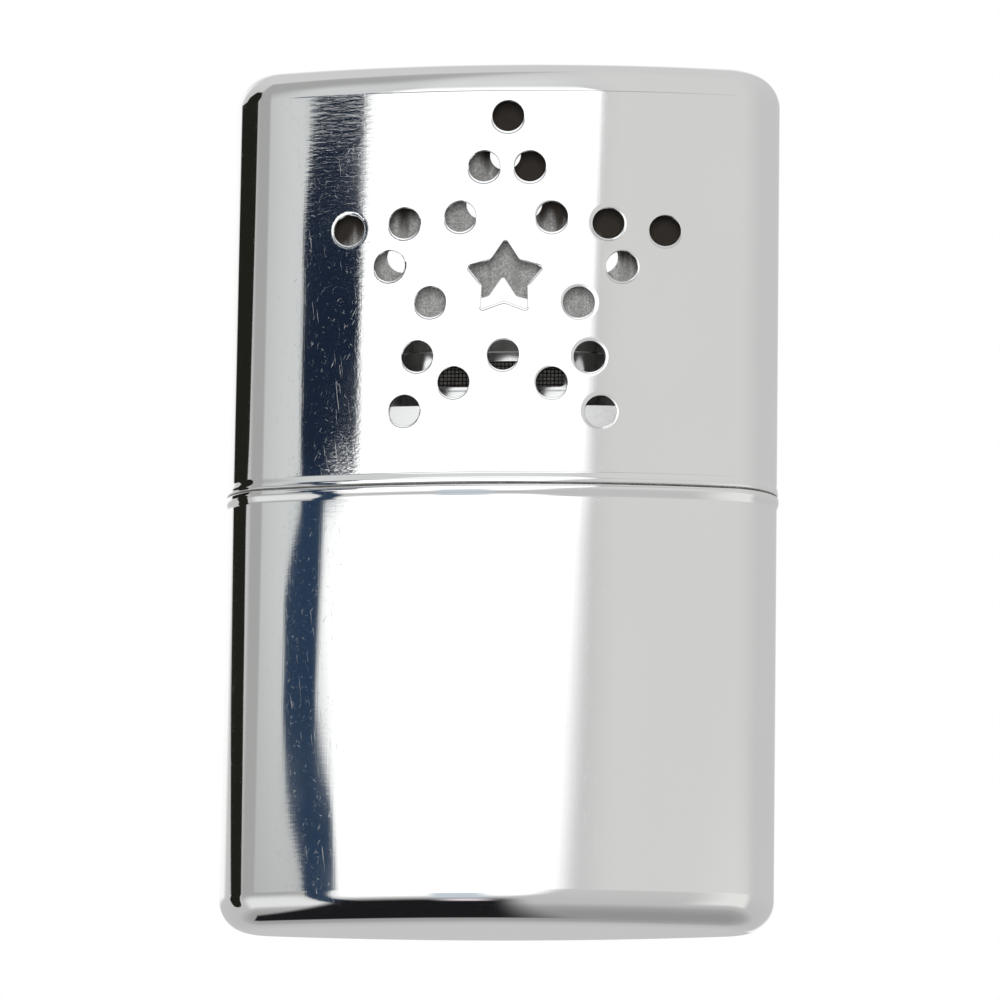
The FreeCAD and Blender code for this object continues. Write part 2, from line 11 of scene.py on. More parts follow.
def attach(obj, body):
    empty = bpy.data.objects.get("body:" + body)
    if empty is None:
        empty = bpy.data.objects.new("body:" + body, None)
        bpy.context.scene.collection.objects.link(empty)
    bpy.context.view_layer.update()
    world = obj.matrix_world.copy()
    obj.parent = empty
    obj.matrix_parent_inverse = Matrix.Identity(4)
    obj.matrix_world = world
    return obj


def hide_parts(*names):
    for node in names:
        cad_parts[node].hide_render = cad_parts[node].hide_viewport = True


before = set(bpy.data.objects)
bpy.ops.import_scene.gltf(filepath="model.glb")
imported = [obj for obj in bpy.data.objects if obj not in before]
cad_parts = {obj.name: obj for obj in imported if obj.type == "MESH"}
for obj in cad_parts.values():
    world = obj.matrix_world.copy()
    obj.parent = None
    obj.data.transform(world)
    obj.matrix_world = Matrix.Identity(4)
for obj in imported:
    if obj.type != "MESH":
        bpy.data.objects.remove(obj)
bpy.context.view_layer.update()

# Sizes in millimetres and angles in degrees, in the CAD model's frame

MM = 0.001
SLACK = 0.0001
ONE_MILLIMETRE = (1.0, 1.0, 1.0)
BODY_WIDTH, BODY_THICKNESS, SIDE_RADIUS, BODY_TOP = 66.0, 19.2, 6.5, 104.8
SEAM = 52.3
CASE_WALL, CASE_BOTTOM_RADIUS, CASE_SWELL = 0.6, 3.8, 0.21
LID_WALL, LID_TOP_RADIUS, LID_SWELL = 0.45, 4.4, 0.12
LID_CLEARANCE, COLLAR_WALL = 0.15, 0.5
COLLAR_TOP, COLLAR_FOOT, DECK_TOP, DECK_UNDERSIDE = 62.1, 48.3, 58.5, 57.9
STAR_HEIGHT, STAR_FRONT, STAR_BACK, STAR_TILT = 77.45, 0.8, -1.2, 0.4
POINT_RADIUS, CORNER_RADIUS, VENT_RADIUS = 19.95, 9.357, 1.9
CUTOUT_TIP, CUTOUT_NOTCH, CUTOUT_TIP_ROUND, CUTOUT_NOTCH_ROUND = 4.85, 2.85, 0.3, 0.6
NECK_LENGTH, NECK_WIDTH, NECK_WALL, NECK_TOP = 24.0, 7.0, 0.5, 63.9
FLANGE_BASE = 57.4
SKIRT_LENGTH, SKIRT_WIDTH, SKIRT_WALL, SKIRT_TOP = 25.0, 8.0, 0.4, 65.0
HOOD_LENGTH, HOOD_WIDTH, HOOD_WALL = 26.0, 9.0, 0.45
HOOD_FOOT, HOOD_SILL, BROW_TOP, DOME_TOP = 62.65, 64.85, 69.67, 73.37
WINDOW_LENGTH, WINDOW_BASE, WINDOW_TOP, WINDOW_ROUND = 15.5, 65.27, 68.37, 0.6
BROW_STEP, BROW_ROUND, DOME_ROUND = 0.7, 0.25, 2.4
MESH_BASE, MESH_TOP, MESH_HALF_LENGTH, MESH_CENTRE = 65.25, 69.22, 8.2, 3.925
WIRE_PITCH, WIRE_RADIUS, WIRE_RISE = 0.46, 0.068, 0.052
PAD_LENGTH, PAD_WIDTH = 24.5, 7.5
FELT_BASE, WADDING_BASE, FILLING_INSET = 54.4, 0.9, 1.4

# Punching draws the sheet in around each hole: the depth at the hole's edge, how far it reaches, and the
# small bevel of the edge itself

DRAW_DEPTH, DRAW_REACH, MOUTH_ROUND, MOUTH_SLOPE = 0.022, 0.6, 0.05, 1.2
RING_STEPS = (0.0, 0.06, 0.14, 0.26, 0.42, 0.62, 0.8)
CUTOUT_STEPS = (0.0, 0.06, 0.14, 0.24, 0.36, 0.48)

# How finely curves and flat-laid walls are cut up: turns in degrees and lengths in millimetres. A bend whose
# radius is under a number of runs is cut up by its turn alone

TIGHT_BEND = 20 / math.pi
VENT_PARTS, OUTLINE_TURN, OUTLINE_RUN, CLEAR_MARGIN = 44, 14.0, 0.6, 0.35

# Both halves are turned out at the seam

LIP_ROUND, LID_LIP, CASE_LIP, SEAM_GAP = 0.14, 1.3, 1.5, 0.22

# Heights of the chrome's fine relief, the sizes of its grains, and its roughness

PEEL_HEIGHT, PITS_HEIGHT, LINE_HEIGHT, WAVE_HEIGHT = 0.0003, 0.0001, 0.0003, 0.016
PEEL_WORN, PITS_WORN = 0.0042, 0.0013
PEEL_GRAIN, PITS_GRAIN, PATCH_GRAIN = (1.8, 1.8, 0.4), (0.34, 0.34, 0.34), (9.0, 9.0, 16.0)
LINE_GRAIN, WAVE_GRAIN, SCRATCH_GRAIN = (0.16, 0.16, 14.0), (14.0, 14.0, 22.0), (0.11, 0.11, 9.0)
SCRATCH_TURNS, SCRATCH_EDGES = (8.0, -27.0, 55.0), (0.70, 0.78)
CHROME_ROUGHNESS, PATCH_ROUGHNESS, SCRATCH_ROUGHNESS = 0.025, 0.03, 0.13

# Where the chrome is worn, as two bounds with the softness of each

WORN_ACROSS = (-23.0, -12.0, (2.0, 3.0))
TORN_HEIGHTS, GRAINY_HEIGHTS = (74.0, 110.0, (4.0, 1.0)), (53.0, 73.0, (3.0, 6.0))

# The inside of the lid turns dark brown above an edge that peaks over the burner: its place, and the height
# and slope of the peak and of the flatter edge beside it

DARK_ZONE_ACROSS = -5.0
DARK_ZONE_PEAK, DARK_ZONE_BESIDE = (98.0, 1.2), (92.5, 0.45)
DARK_ZONE_RAGGED, DARK_ZONE_FADE, DARK_ZONE_TONE = 6.0, (1.5, 5.0), (0.062, 0.053, 0.045, 1.0)


# Plans and profiles

def direction(angle):
    """Unit vector across the plan at an angle in degrees, from -Y towards +X."""
    return Vector((math.sin(math.radians(angle)), -math.cos(math.radians(angle)), 0.0))


def lift(height):
    return Vector((0.0, 0.0, height))


class Plan:
    """A closed plan of arcs and straight runs, followed by length from the middle of its left side."""

    def __init__(self, pieces):
        self.pieces = pieces
        self.starts = [0.0]
        for piece in pieces:
            self.starts.append(self.starts[-1] + piece["length"])

    def at(self, along):
        """The point at a length along the plan, and its outward normal."""
        place = 0
        while place < len(self.pieces) - 1 and along > self.starts[place + 1]:
            place += 1
        piece = self.pieces[place]
        share = (along - self.starts[place]) / piece["length"]
        normal = direction(piece["from"] + share * (piece["to"] - piece["from"]))
        if piece["radius"]:
            return piece["centre"] + piece["radius"] * normal, normal
        return piece["start"].lerp(piece["end"], share), normal

    def stations(self, turn, run):
        """Lengths along the plan, at most a turn in degrees or a run in millimetres apart."""
        marks = []
        for start, piece in zip(self.starts, self.pieces):
            parts = max(1, math.ceil(abs(piece["to"] - piece["from"]) / turn))
            if not 0 < piece["radius"] < run * TIGHT_BEND:
                parts = max(parts, math.ceil(piece["length"] / run))
            marks += [start + piece["length"] * step / parts for step in range(parts)]
        return marks + [self.starts[-1]]

    def spots(self, stations):
        """The points and normals at the given lengths."""
        return [self.at(along) for along in stations]


def arc(centre_x, centre_y, radius, start, end):
    return {
        "centre": Vector((centre_x, centre_y, 0.0)),
        "radius": radius,
        "from": start,
        "to": end,
        "length": radius * math.radians(end - start),
    }


def straight(start_x, end_x, y, angle):
    start, end = Vector((start_x, y, 0.0)), Vector((end_x, y, 0.0))
    length = (end - start).length
    return {"start": start, "end": end, "radius": 0, "from": angle, "to": angle, "length": length}


def lens():
    """The plan of the lid and the case."""
    side = BODY_WIDTH / 2 - SIDE_RADIUS
    half = BODY_THICKNESS / 2
    face_radius = (side**2 + half**2 - SIDE_RADIUS**2) / (2 * (half - SIDE_RADIUS))
    face_centre = face_radius - half
    lean = math.degrees(math.atan2(side, face_centre))
    return Plan([
        arc(-side, 0, SIDE_RADIUS, -90, -lean),
        arc(0, face_centre, face_radius, -lean, lean),
        arc(side, 0, SIDE_RADIUS, lean, 180 - lean),
        arc(0, -face_centre, face_radius, 180 - lean, 180 + lean),
        arc(-side, 0, SIDE_RADIUS, 180 + lean, 270),
    ])


def oval(length, width):
    """A straight-sided plan with half-round ends."""
    end = (length - width) / 2
    radius = width / 2
    return Plan([
        arc(-end, 0, radius, -90, 0),
        straight(-end, end, -radius, 0),
        arc(end, 0, radius, 0, 180),
        straight(end, -end, radius, 180),
        arc(-end, 0, radius, 180, 270),
    ])


LENS = lens()
FACE_RADIUS = LENS.pieces[1]["radius"]
LENS_STATIONS = LENS.stations(3.0, 1.6)
LENS_SPOTS = LENS.spots(LENS_STATIONS)


def profile(corners, closed=False, turn=12.0):
    """Strips of a profile given by (offset, height, radius) corners, with the outside on its right.

    Each strip is a pair of knots, and a knot is a place and a normal, both as (outwards, up).
    """
    places = [Vector(corner[:2]) for corner in corners]
    count = len(places)
    knots = []
    for index, corner in enumerate(corners):
        here = places[index]
        if not closed and index in (0, count - 1):
            knots.append([(here, None)])
            continue
        before = (here - places[index - 1]).normalized()
        after = (places[(index + 1) % count] - here).normalized()
        knots.append(rounded(here, before, after, corner[2], turn))
    strips = []
    for index in range(count if closed else count - 1):
        knot, following = knots[index], knots[(index + 1) % count]
        start, end = knot[-1][0], following[0][0]
        run = end - start
        flat = Vector((run.y, -run.x)).normalized()
        strips.append(((start, flat), (end, flat)))
        strips += list(zip(following, following[1:])) if following[0][1] else []
    return strips


def rounded(here, before, after, radius, turn):
    """The knots of one rounded corner, or the corner itself where the radius is nothing."""
    bend = math.atan2(before.x * after.y - before.y * after.x, before.dot(after))
    if radius == 0 or abs(bend) < 1e-6:
        return [(here, None)]
    normal = Vector((before.y, -before.x))
    reach = radius * math.tan(abs(bend) / 2)
    side = 1 if bend > 0 else -1
    centre = here - reach * before - side * radius * normal
    parts = max(2, math.ceil(abs(math.degrees(bend)) / turn))
    found = []
    for step in range(parts + 1):
        angle = bend * step / parts
        turned = Vector((
            normal.x * math.cos(angle) - normal.y * math.sin(angle),
            normal.x * math.sin(angle) + normal.y * math.cos(angle),
        ))
        found.append((centre + side * radius * turned, turned))
    return found


def curve(points):
    """Strips of a smooth profile through (offset, height) points, with the outside on its right."""
    places = [Vector(point) for point in points]
    runs = [(following - here).normalized() for here, following in zip(places, places[1:])]
    tangents = [runs[0]] + [before + after for before, after in zip(runs, runs[1:])] + [runs[-1]]
    normals = [Vector((tangent.y, -tangent.x)).normalized() for tangent in tangents]
    knots = list(zip(places, normals))
    return list(zip(knots, knots[1:]))


def lip(swell, reach, up):
    """The outside of a lip that is turned out at the seam. It lies above the seam (up 1) or below (up -1)."""
    points = []
    for step in range(7):
        angle = math.pi / 2 * (step / 6 - 1)
        points.append((swell - LIP_ROUND + LIP_ROUND * math.cos(angle), LIP_ROUND * (1 + math.sin(angle))))
    for step in range(13):
        share = step / 12
        points.append((swell * (1 - share * share * (3 - 2 * share)), reach * (0.35 + 0.65 * share)))
    start = SEAM + SEAM_GAP if up > 0 else SEAM
    placed_points = [(offset, start + up * rise) for offset, rise in points]
    return curve(placed_points if up > 0 else placed_points[::-1])


class Skin:
    """Gathers faces with a normal at every corner, welds the corners and makes one mesh of them."""

    def __init__(self):
        self.places = {}
        self.points, self.faces, self.normals, self.slots = [], [], [], []

    def vertex(self, point):
        """The number of the point, or of one already there that is as good as the same."""
        keys = [
            (round(point.x + x, 3), round(point.y + y, 3), round(point.z + z, 3))
            for x, y, z in itertools.product((-SLACK, SLACK), repeat=3)
        ]
        for key in keys:
            if key in self.places:
                return self.places[key]
        for key in keys:
            self.places[key] = len(self.points)
        self.points.append(point * MM)
        return len(self.points) - 1

    def face(self, corners, slot=0):
        """Adds a face of (point, normal) corners, turned to look the way that its normals do."""
        kept = []
        for point, normal in corners:
            index = self.vertex(point)
            if index not in [other[0] for other in kept]:
                kept.append((index, point, normal))
        if len(kept) < 3:
            return
        across = Vector()
        for here, following in zip(kept, kept[1:] + kept[:1]):
            across += here[1].cross(following[1])
        facing = sum((corner[2] for corner in kept), Vector())
        if across.dot(facing) < 0:
            kept.reverse()
        self.faces.append([corner[0] for corner in kept])
        self.normals += [corner[2].normalized() for corner in kept]
        self.slots.append(slot)

    def sweep(self, spots, strips, slot=0):
        """Carries a profile past the spots of a plan."""
        for here, following in zip(spots, spots[1:]):
            for low, high in strips:
                ends = [(here, low), (following, low), (following, high), (here, high)]
                self.face([placed(spot, knot) for spot, knot in ends], slot)

    def cap(self, spots, offset, height, up, slot=0):
        """Closes a plan with a flat face."""
        corners = [(point + offset * outward + lift(height), lift(up)) for point, outward in spots[:-1]]
        self.face(corners, slot)

    def make(self, name, body, slot, finishes, node):
        add_piece(name, (self.points, self.faces, self.normals, self.slots), body, slot, finishes, node)


def add_piece(name, shape, body, slot, finishes, node):
    """Makes an object that rides on a body and stands for a CAD node."""
    points, faces, normals, slots = shape
    mesh = bpy.data.meshes.new(name)
    mesh.from_pydata(points, [], faces)
    for finish in finishes:
        mesh.materials.append(finish)
    mesh.polygons.foreach_set("material_index", slots)
    mesh.polygons.foreach_set("use_smooth", [True] * len(faces))
    if normals:
        mesh.normals_split_custom_set([tuple(normal) for normal in normals])
    mesh.update()
    piece = bpy.data.objects.new(name, mesh)
    bpy.context.scene.collection.objects.link(piece)
    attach(piece, body)
    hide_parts(node)


def placed(spot, knot):
    """A profile's knot set at a spot of the plan, as a point and a normal in space."""
    point, outward = spot
    place, normal = knot
    return (
        point + place.x * outward + lift(place.y),
        normal.x * outward + lift(normal.y),
    )


# Walls with holes, laid out flat as (length along the plan, height)

class Hole:
    """A hole in a flat-laid wall, with rings of points around it, each a step further into the sheet."""

    def __init__(self, edge, normals, steps):
        self.edge = edge
        self.normals = normals
        self.reach = steps[-1]
        self.rings = [[point + step * normal for point, normal in zip(edge, normals)] for step in steps]
        self.low = Vector((min(point.x for point in edge), min(point.y for point in edge)))
        self.high = Vector((max(point.x for point in edge), max(point.y for point in edge)))

    def is_near(self, spot, margin):
        return all(low - margin < at < high + margin for low, at, high in zip(self.low, spot, self.high))

    def covers(self, spot):
        """Whether a spot is inside the outermost ring."""
        inside = False
        ring = self.rings[-1]
        for here, following in zip(ring, ring[1:] + ring[:1]):
            if (here.y > spot.y) != (following.y > spot.y):
                crossing = here.x + (spot.y - here.y) / (following.y - here.y) * (following.x - here.x)
                inside ^= spot.x < crossing
        return inside

    def nearest(self, spot):
        """How far a spot is from the hole's edge, and the direction from the edge to the spot."""
        best = None
        for here, following, normal in zip(self.edge, self.edge[1:] + self.edge[:1], self.normals):
            run = following - here
            share = min(1.0, max(0.0, (spot - here).dot(run) / run.length_squared))
            away = spot - (here + share * run)
            if best is None or away.length < best[0]:
                best = (away.length, away.normalized() if away.length > 1e-3 else normal)
        return best


class RoundHole(Hole):
    """A round hole, which is simpler to measure from."""

    def __init__(self, centre, radius, steps):
        turns = [math.tau * k / VENT_PARTS for k in range(VENT_PARTS)]
        normals = [Vector((math.cos(turn), math.sin(turn))) for turn in turns]
        super().__init__([centre + radius * normal for normal in normals], normals, steps)
        self.centre = centre
        self.radius = radius

    def covers(self, spot):
        return (spot - self.centre).length < self.radius + self.reach - 0.01

    def nearest(self, spot):
        away = spot - self.centre
        return abs(away.length - self.radius), away.normalized()


def outline_hole(corners, steps):
    """A hole with straight sides and rounded corners, given as (x, y, radius) clockwise."""
    edge, normals = [], []
    for start, end in profile(corners, closed=True, turn=OUTLINE_TURN):
        parts = max(1, round((end[0] - start[0]).length / OUTLINE_RUN))
        for step in range(parts):
            edge.append(start[0].lerp(end[0], step / parts))
            normals.append(-start[1].lerp(end[1], step / parts).normalized())
    return Hole(edge, normals, steps)


def star_hole(centre, tilt):
    """The star-shaped cut-out, with its tips and its notches rounded."""
    corners = []
    for step in range(10):
        angle = math.radians(90 + tilt - 36 * step)
        radius, rounding = ((CUTOUT_TIP, CUTOUT_TIP_ROUND), (CUTOUT_NOTCH, CUTOUT_NOTCH_ROUND))[step % 2]
        corners.append((centre.x + radius * math.cos(angle), centre.y + radius * math.sin(angle), rounding))
    return outline_hole(corners, CUTOUT_STEPS)


def star_spots(tilt):
    """Where the star's vents are, about its centre."""
    def ring(radius, step):
        angle = math.radians(90 + tilt - 36 * step)
        return Vector((radius * math.cos(angle), radius * math.sin(angle)))

    spots = []
    for step in range(0, 10, 2):
        tip = ring(POINT_RADIUS, step)
        left, right = ring(CORNER_RADIUS, step - 1), ring(CORNER_RADIUS, step + 1)
        spots += [tip, right, (tip + left) / 2, (tip + right) / 2]
    return spots


def along_face(x, back):
    """The length along the lens plan at which a face passes a given X."""
    reach = FACE_RADIUS * math.asin(x / FACE_RADIUS)
    piece = 3 if back else 1
    middle = LENS.starts[piece] + LENS.pieces[piece]["length"] / 2
    return middle - reach if back else middle + reach


def lid_holes():
    holes = []
    for back, shift in ((False, STAR_FRONT), (True, STAR_BACK)):
        for spot in star_spots(-STAR_TILT):
            centre = Vector((along_face(shift + spot.x, back), STAR_HEIGHT + spot.y))
            holes.append(RoundHole(centre, VENT_RADIUS, RING_STEPS))
        centre = Vector((along_face(shift, back), STAR_HEIGHT))
        holes.append(star_hole(centre, STAR_TILT if back else -STAR_TILT))
    return holes


def drawn_surface(holes):
    """The lid's outer surface: its offset from the plain plan and the slope of that, at any spot."""
    def surface(spot):
        offset, slope = 0.0, Vector((0.0, 0.0))
        for hole in holes:
            if hole.is_near(spot, DRAW_REACH):
                gap, away = hole.nearest(spot)
                rest = 1 - gap / DRAW_REACH
                if rest > 0:
                    offset -= DRAW_DEPTH * rest**3
                    slope += 3 * DRAW_DEPTH / DRAW_REACH * rest**2 * away
                if gap < 1e-3:
                    offset -= MOUTH_ROUND
                    slope += MOUTH_SLOPE * away
        return offset, slope

    return surface


def plain_surface(inset):
    return lambda spot: (-inset, Vector((0.0, 0.0)))


class PunchedWall:
    """A wall that follows a plan between two heights, with holes in it."""

    def __init__(self, plan, stations, heights, holes):
        self.plan = plan
        self.holes = holes
        self.spots = []
        self.places = {}
        for place, along in enumerate(stations):
            for level, height in enumerate(heights):
                spot = Vector((along, height))
                border = place in (0, len(stations) - 1) or level in (0, len(heights) - 1)
                if border or not self.crowded(spot):
                    self.add(spot)
        edges = []
        for row in (heights[0], heights[-1]):
            edges += self.chain([Vector((along, row)) for along in stations])
        for column in (stations[0], stations[-1]):
            edges += self.chain([Vector((column, height)) for height in heights])
        for hole in holes:
            ring = hole.rings[-1]
            edges += self.chain(ring + ring[:1])
        _, _, faces, origins, _, _ = delaunay_2d_cdt(self.spots, edges, [], 0, 1e-5)
        self.triangles = []
        for face in faces:
            corners = [self.spots[origins[index][0]] for index in face]
            middle = (corners[0] + corners[1] + corners[2]) / 3
            if not any(hole.is_near(middle, hole.reach) and hole.covers(middle) for hole in holes):
                self.triangles.append(corners)

    def crowded(self, spot):
        """Whether a spot is inside a hole or too near its outermost ring."""
        for hole in self.holes:
            margin = hole.reach + CLEAR_MARGIN
            if hole.is_near(spot, margin) and (hole.covers(spot) or hole.nearest(spot)[0] < margin):
                return True
        return False

    def add(self, spot):
        key = (round(spot.x, 3), round(spot.y, 3))
        if key not in self.places:
            self.places[key] = len(self.spots)
            self.spots.append(spot)
        return self.places[key]

    def chain(self, spots):
        places = [self.add(spot) for spot in spots]
        return list(zip(places, places[1:]))

    def lay(self, skin, surface, outward, slot=0):
        """Lays one side of the sheet, and gives the rim of each hole as points."""
        known = {}

        def corner(spot):
            key = (spot.x, spot.y)
            if key not in known:
                point, normal = self.plan.at(spot.x)
                tangent = Vector((-normal.y, normal.x, 0.0))
                offset, slope = surface(spot)
                turned = normal - slope.x * tangent - lift(slope.y)
                known[key] = (point + offset * normal + lift(spot.y), outward * turned)
            return known[key]

        for triangle in self.triangles:
            skin.face([corner(spot) for spot in triangle], slot)
        for hole in self.holes:
            for inner, outer in zip(hole.rings, hole.rings[1:]):
                for k, j in zip(range(-1, len(inner) - 1), range(len(inner))):
                    skin.face([corner(inner[k]), corner(inner[j]), corner(outer[j]), corner(outer[k])], slot)
        return [[corner(spot)[0] for spot in hole.edge] for hole in self.holes]

    def line_holes(self, skin, outer_rims, inner_rims):
        """Joins the two sides of the sheet around each hole. At the back the edges look like the inside."""
        for hole, outer, inner in zip(self.holes, outer_rims, inner_rims):
            facing = []
            for spot, away in zip(hole.edge, hole.normals):
                normal = self.plan.at(spot.x)[1]
                facing.append(-away.x * Vector((-normal.y, normal.x, 0.0)) - lift(away.y))
            for k, j in zip(range(-1, len(outer) - 1), range(len(outer))):
                quad = [(side[m], facing[m]) for side, m in ((outer, k), (outer, j), (inner, j), (inner, k))]
                skin.face(quad, int(normal.y > 0))


# Node graphs

class Value:
    """An output in a node graph, with which sums are written as usual."""

    def __init__(self, graph, socket):
        self.graph = graph
        self.socket = socket

    def __add__(self, other):
        return self.graph.math("ADD", self, other)

    def __sub__(self, other):
        return self.graph.math("SUBTRACT", self, other)

    def __rsub__(self, other):
        return self.graph.math("SUBTRACT", other, self)

    def __mul__(self, other):
        return self.graph.math("MULTIPLY", self, other)

    def __truediv__(self, other):
        return self.graph.math("DIVIDE", self, other)

    def step(self, low, high):
        """Goes smoothly from 0 at low to 1 at high, or from 1 to 0 where low is above high."""
        inputs = {"Value": self, "From Min": low, "From Max": high}
        return self.graph.value("ShaderNodeMapRange", inputs, interpolation_type="SMOOTHSTEP")

    def between(self, low, high, softness):
        """1 between two bounds, with a soft edge at each."""
        soft_low, soft_high = softness
        return (self - low).step(-soft_low, soft_low) * (high - self).step(-soft_high, soft_high)


class Graph:
    """Adds nodes to a tree. An input given as a Value is linked, and any other is set."""

    def __init__(self, owner):
        owner.use_nodes = True
        self.tree = owner.node_tree
        self.tree.nodes.clear()

    def add(self, kind, inputs=None, **settings):
        node = self.tree.nodes.new(kind)
        for name, value in settings.items():
            setattr(node, name, value)
        for key, value in (inputs or {}).items():
            if isinstance(value, Value):
                self.tree.links.new(value.socket, node.inputs[key])
            else:
                node.inputs[key].default_value = value
        return node

    def value(self, kind, inputs=None, output=0, **settings):
        """One output of a new node."""
        return Value(self, self.add(kind, inputs, **settings).outputs[output])

    def math(self, operation, *values):
        return self.value("ShaderNodeMath", dict(enumerate(values)), operation=operation)

    def highest(self, found, *others):
        for other in others:
            found = self.math("MAXIMUM", found, other)
        return found

    def ramp(self, value, stops):
        """A colour ramp with (place, colour) stops."""
        node = self.add("ShaderNodeValToRGB", {"Fac": value})
        elements = node.color_ramp.elements
        while len(elements) < len(stops):
            elements.new(0.5)
        for element, (place, colour) in zip(elements, stops):
            element.position = place
            element.color = (*colour[:3], 1.0)
        return Value(self, node.outputs[0])

    def mix(self, share, first, second):
        return self.value("ShaderNodeMix", {0: share, 6: first, 7: second}, 2, data_type="RGBA")

    def place(self):
        return self.value("ShaderNodeTexCoord", output="Object")

    def stretched(self, vector, grain):
        """The vector scaled so that one unit is a grain, given as three sizes in millimetres."""
        scale = tuple(1 / (size * MM) for size in grain)
        return self.value("ShaderNodeVectorMath", {0: vector, 1: scale}, operation="MULTIPLY")

    def noise(self, vector, grain, detail=2.0, roughness=0.5):
        """Noise with grains of three sizes in millimetres."""
        vector = self.stretched(vector, grain)
        inputs = {"Vector": vector, "Scale": 1.0, "Detail": detail, "Roughness": roughness}
        return self.value("ShaderNodeTexNoise", inputs)

    def split(self, vector):
        return [Value(self, socket) for socket in self.add("ShaderNodeSeparateXYZ", {0: vector}).outputs]

    def surface(self, tone, roughness, height, metallic=0.0, sheen=0.0):
        """Finishes a material with the standard shader. The height of its relief is in millimetres."""
        normal = self.value("ShaderNodeBump", {"Height": height, "Distance": MM, "Strength": 1.0})
        inputs = {"Base Color": tone, "Roughness": roughness, "Normal": normal}
        inputs.update({"Metallic": metallic, "Sheen Weight": sheen})
        shader = self.value("ShaderNodeBsdfPrincipled", inputs)
        self.add("ShaderNodeOutputMaterial", {"Surface": shader})


def material(name):
    made = bpy.data.materials.new(name)
    return made, Graph(made)


def grey(level):
    return (level, level, level, 1.0)


def chrome_material():
    """Mirror plating with rub marks, patches and scratches, peeled and pitted down its left side."""
    made, graph = material("chrome_shell")
    place = graph.place()
    across, _, height = graph.split(graph.stretched(place, ONE_MILLIMETRE))
    worn = across.between(*WORN_ACROSS)
    grainy, torn = (worn * height.between(*heights) for heights in (GRAINY_HEIGHTS, TORN_HEIGHTS))
    patches = graph.noise(place, PATCH_GRAIN)
    relief = graph.noise(place, PEEL_GRAIN, 3.0, 0.6) * (torn * PEEL_WORN + PEEL_HEIGHT)
    relief = graph.noise(place, PITS_GRAIN) * (grainy * PITS_WORN + PITS_HEIGHT) + relief
    for grain, depth in ((LINE_GRAIN, LINE_HEIGHT), (WAVE_GRAIN, WAVE_HEIGHT)):
        relief = graph.noise(place, grain, 1.0) * depth + relief
    scratches = []
    for turn in SCRATCH_TURNS:
        inputs = {"Vector": place, "Angle": math.radians(turn)}
        turned = graph.value("ShaderNodeVectorRotate", inputs, rotation_type="Y_AXIS")
        scratches.append(graph.noise(turned, SCRATCH_GRAIN, 1.0).step(*SCRATCH_EDGES))
    tone = graph.mix(patches, (0.885, 0.885, 0.88, 1.0), (0.915, 0.918, 0.912, 1.0))
    roughness = patches.step(0.35, 0.75) * PATCH_ROUGHNESS + CHROME_ROUGHNESS
    roughness = graph.highest(*scratches) * SCRATCH_ROUGHNESS + roughness
    graph.surface(tone, roughness, relief, metallic=1.0)
    return made


def inner_material():
    """The unpolished inside of the shells: a sandy grey that turns dark brown above a ragged edge, which
    peaks over the burner and drops beside it.
    """
    made, graph = material("shell_inside")
    place = graph.place()
    across, _, height = graph.split(graph.stretched(place, ONE_MILLIMETRE))
    grain = graph.noise(place, (0.2, 0.2, 0.2), 3.0, 0.65)
    streaks = graph.noise(place, (1.3, 1.3, 7.0), 3.0)
    sand = graph.ramp(grain, [(0.36, (0.36, 0.36, 0.355)), (0.64, (0.84, 0.84, 0.83))])
    shade = graph.mix(streaks.step(0.42, 0.75) * 0.6, sand, (0.36, 0.35, 0.33, 1.0))
    # Darker brown above a ragged edge that peaks over the burner and falls away beside it
    sideways = graph.math("ABSOLUTE", across - DARK_ZONE_ACROSS)
    edges = [sideways * -slope + top for top, slope in (DARK_ZONE_PEAK, DARK_ZONE_BESIDE)]
    ragged = streaks * DARK_ZONE_RAGGED + (height - graph.highest(*edges))
    tone = graph.mix(ragged.step(*DARK_ZONE_FADE), shade, DARK_ZONE_TONE)
    graph.surface(tone, 0.55, grain * 0.03, metallic=0.25)
    return made


def steel_material(name, tone, roughness):
    """Polished sheet with rub marks along X."""
    made, graph = material(name)
    place = graph.place()
    scuffs = graph.noise(place, (0.8, 0.8, 0.5), 3.0, 0.6)
    height = scuffs * 0.004 + graph.noise(place, (10.0, 0.12, 0.12)) * 0.002
    shade = graph.mix(scuffs, grey(tone * 0.9), grey(tone * 1.05))
    graph.surface(shade, scuffs * 0.12 + roughness, height, metallic=1.0)
    return made


def wire_material():
    """Sooty dark wire."""
    made, graph = material("mesh_wire")
    soot = graph.noise(graph.place(), (0.9, 0.9, 0.9), 3.0)
    tone = graph.ramp(soot, [(0.35, (0.02, 0.018, 0.017)), (0.65, (0.075, 0.07, 0.066))])
    graph.surface(tone, 0.42, soot * 0.01, metallic=1.0)
    return made


def fibre_material(name, dark, light, grain):
    """Matted fibres: streaks in three directions over a soft mottle."""
    made, graph = material(name)
    place = graph.place()
    directions = ((3.0, 0.25, 0.25), (0.25, 3.0, 0.25), (0.3, 0.3, 2.5))
    strands = [graph.noise(place, [size * grain for size in sizes]) for sizes in directions]
    weave = graph.highest(*strands)
    mottle = graph.noise(place, [4 * grain] * 3, 3.0)
    share = weave.step(0.4, 0.72) * (mottle * 0.6 + 0.5)
    tone = graph.mix(share, (*dark, 1.0), (*light, 1.0))
    graph.surface(tone, 0.9, weave * (0.25 * grain), sheen=0.25)
    return made


# Pieces

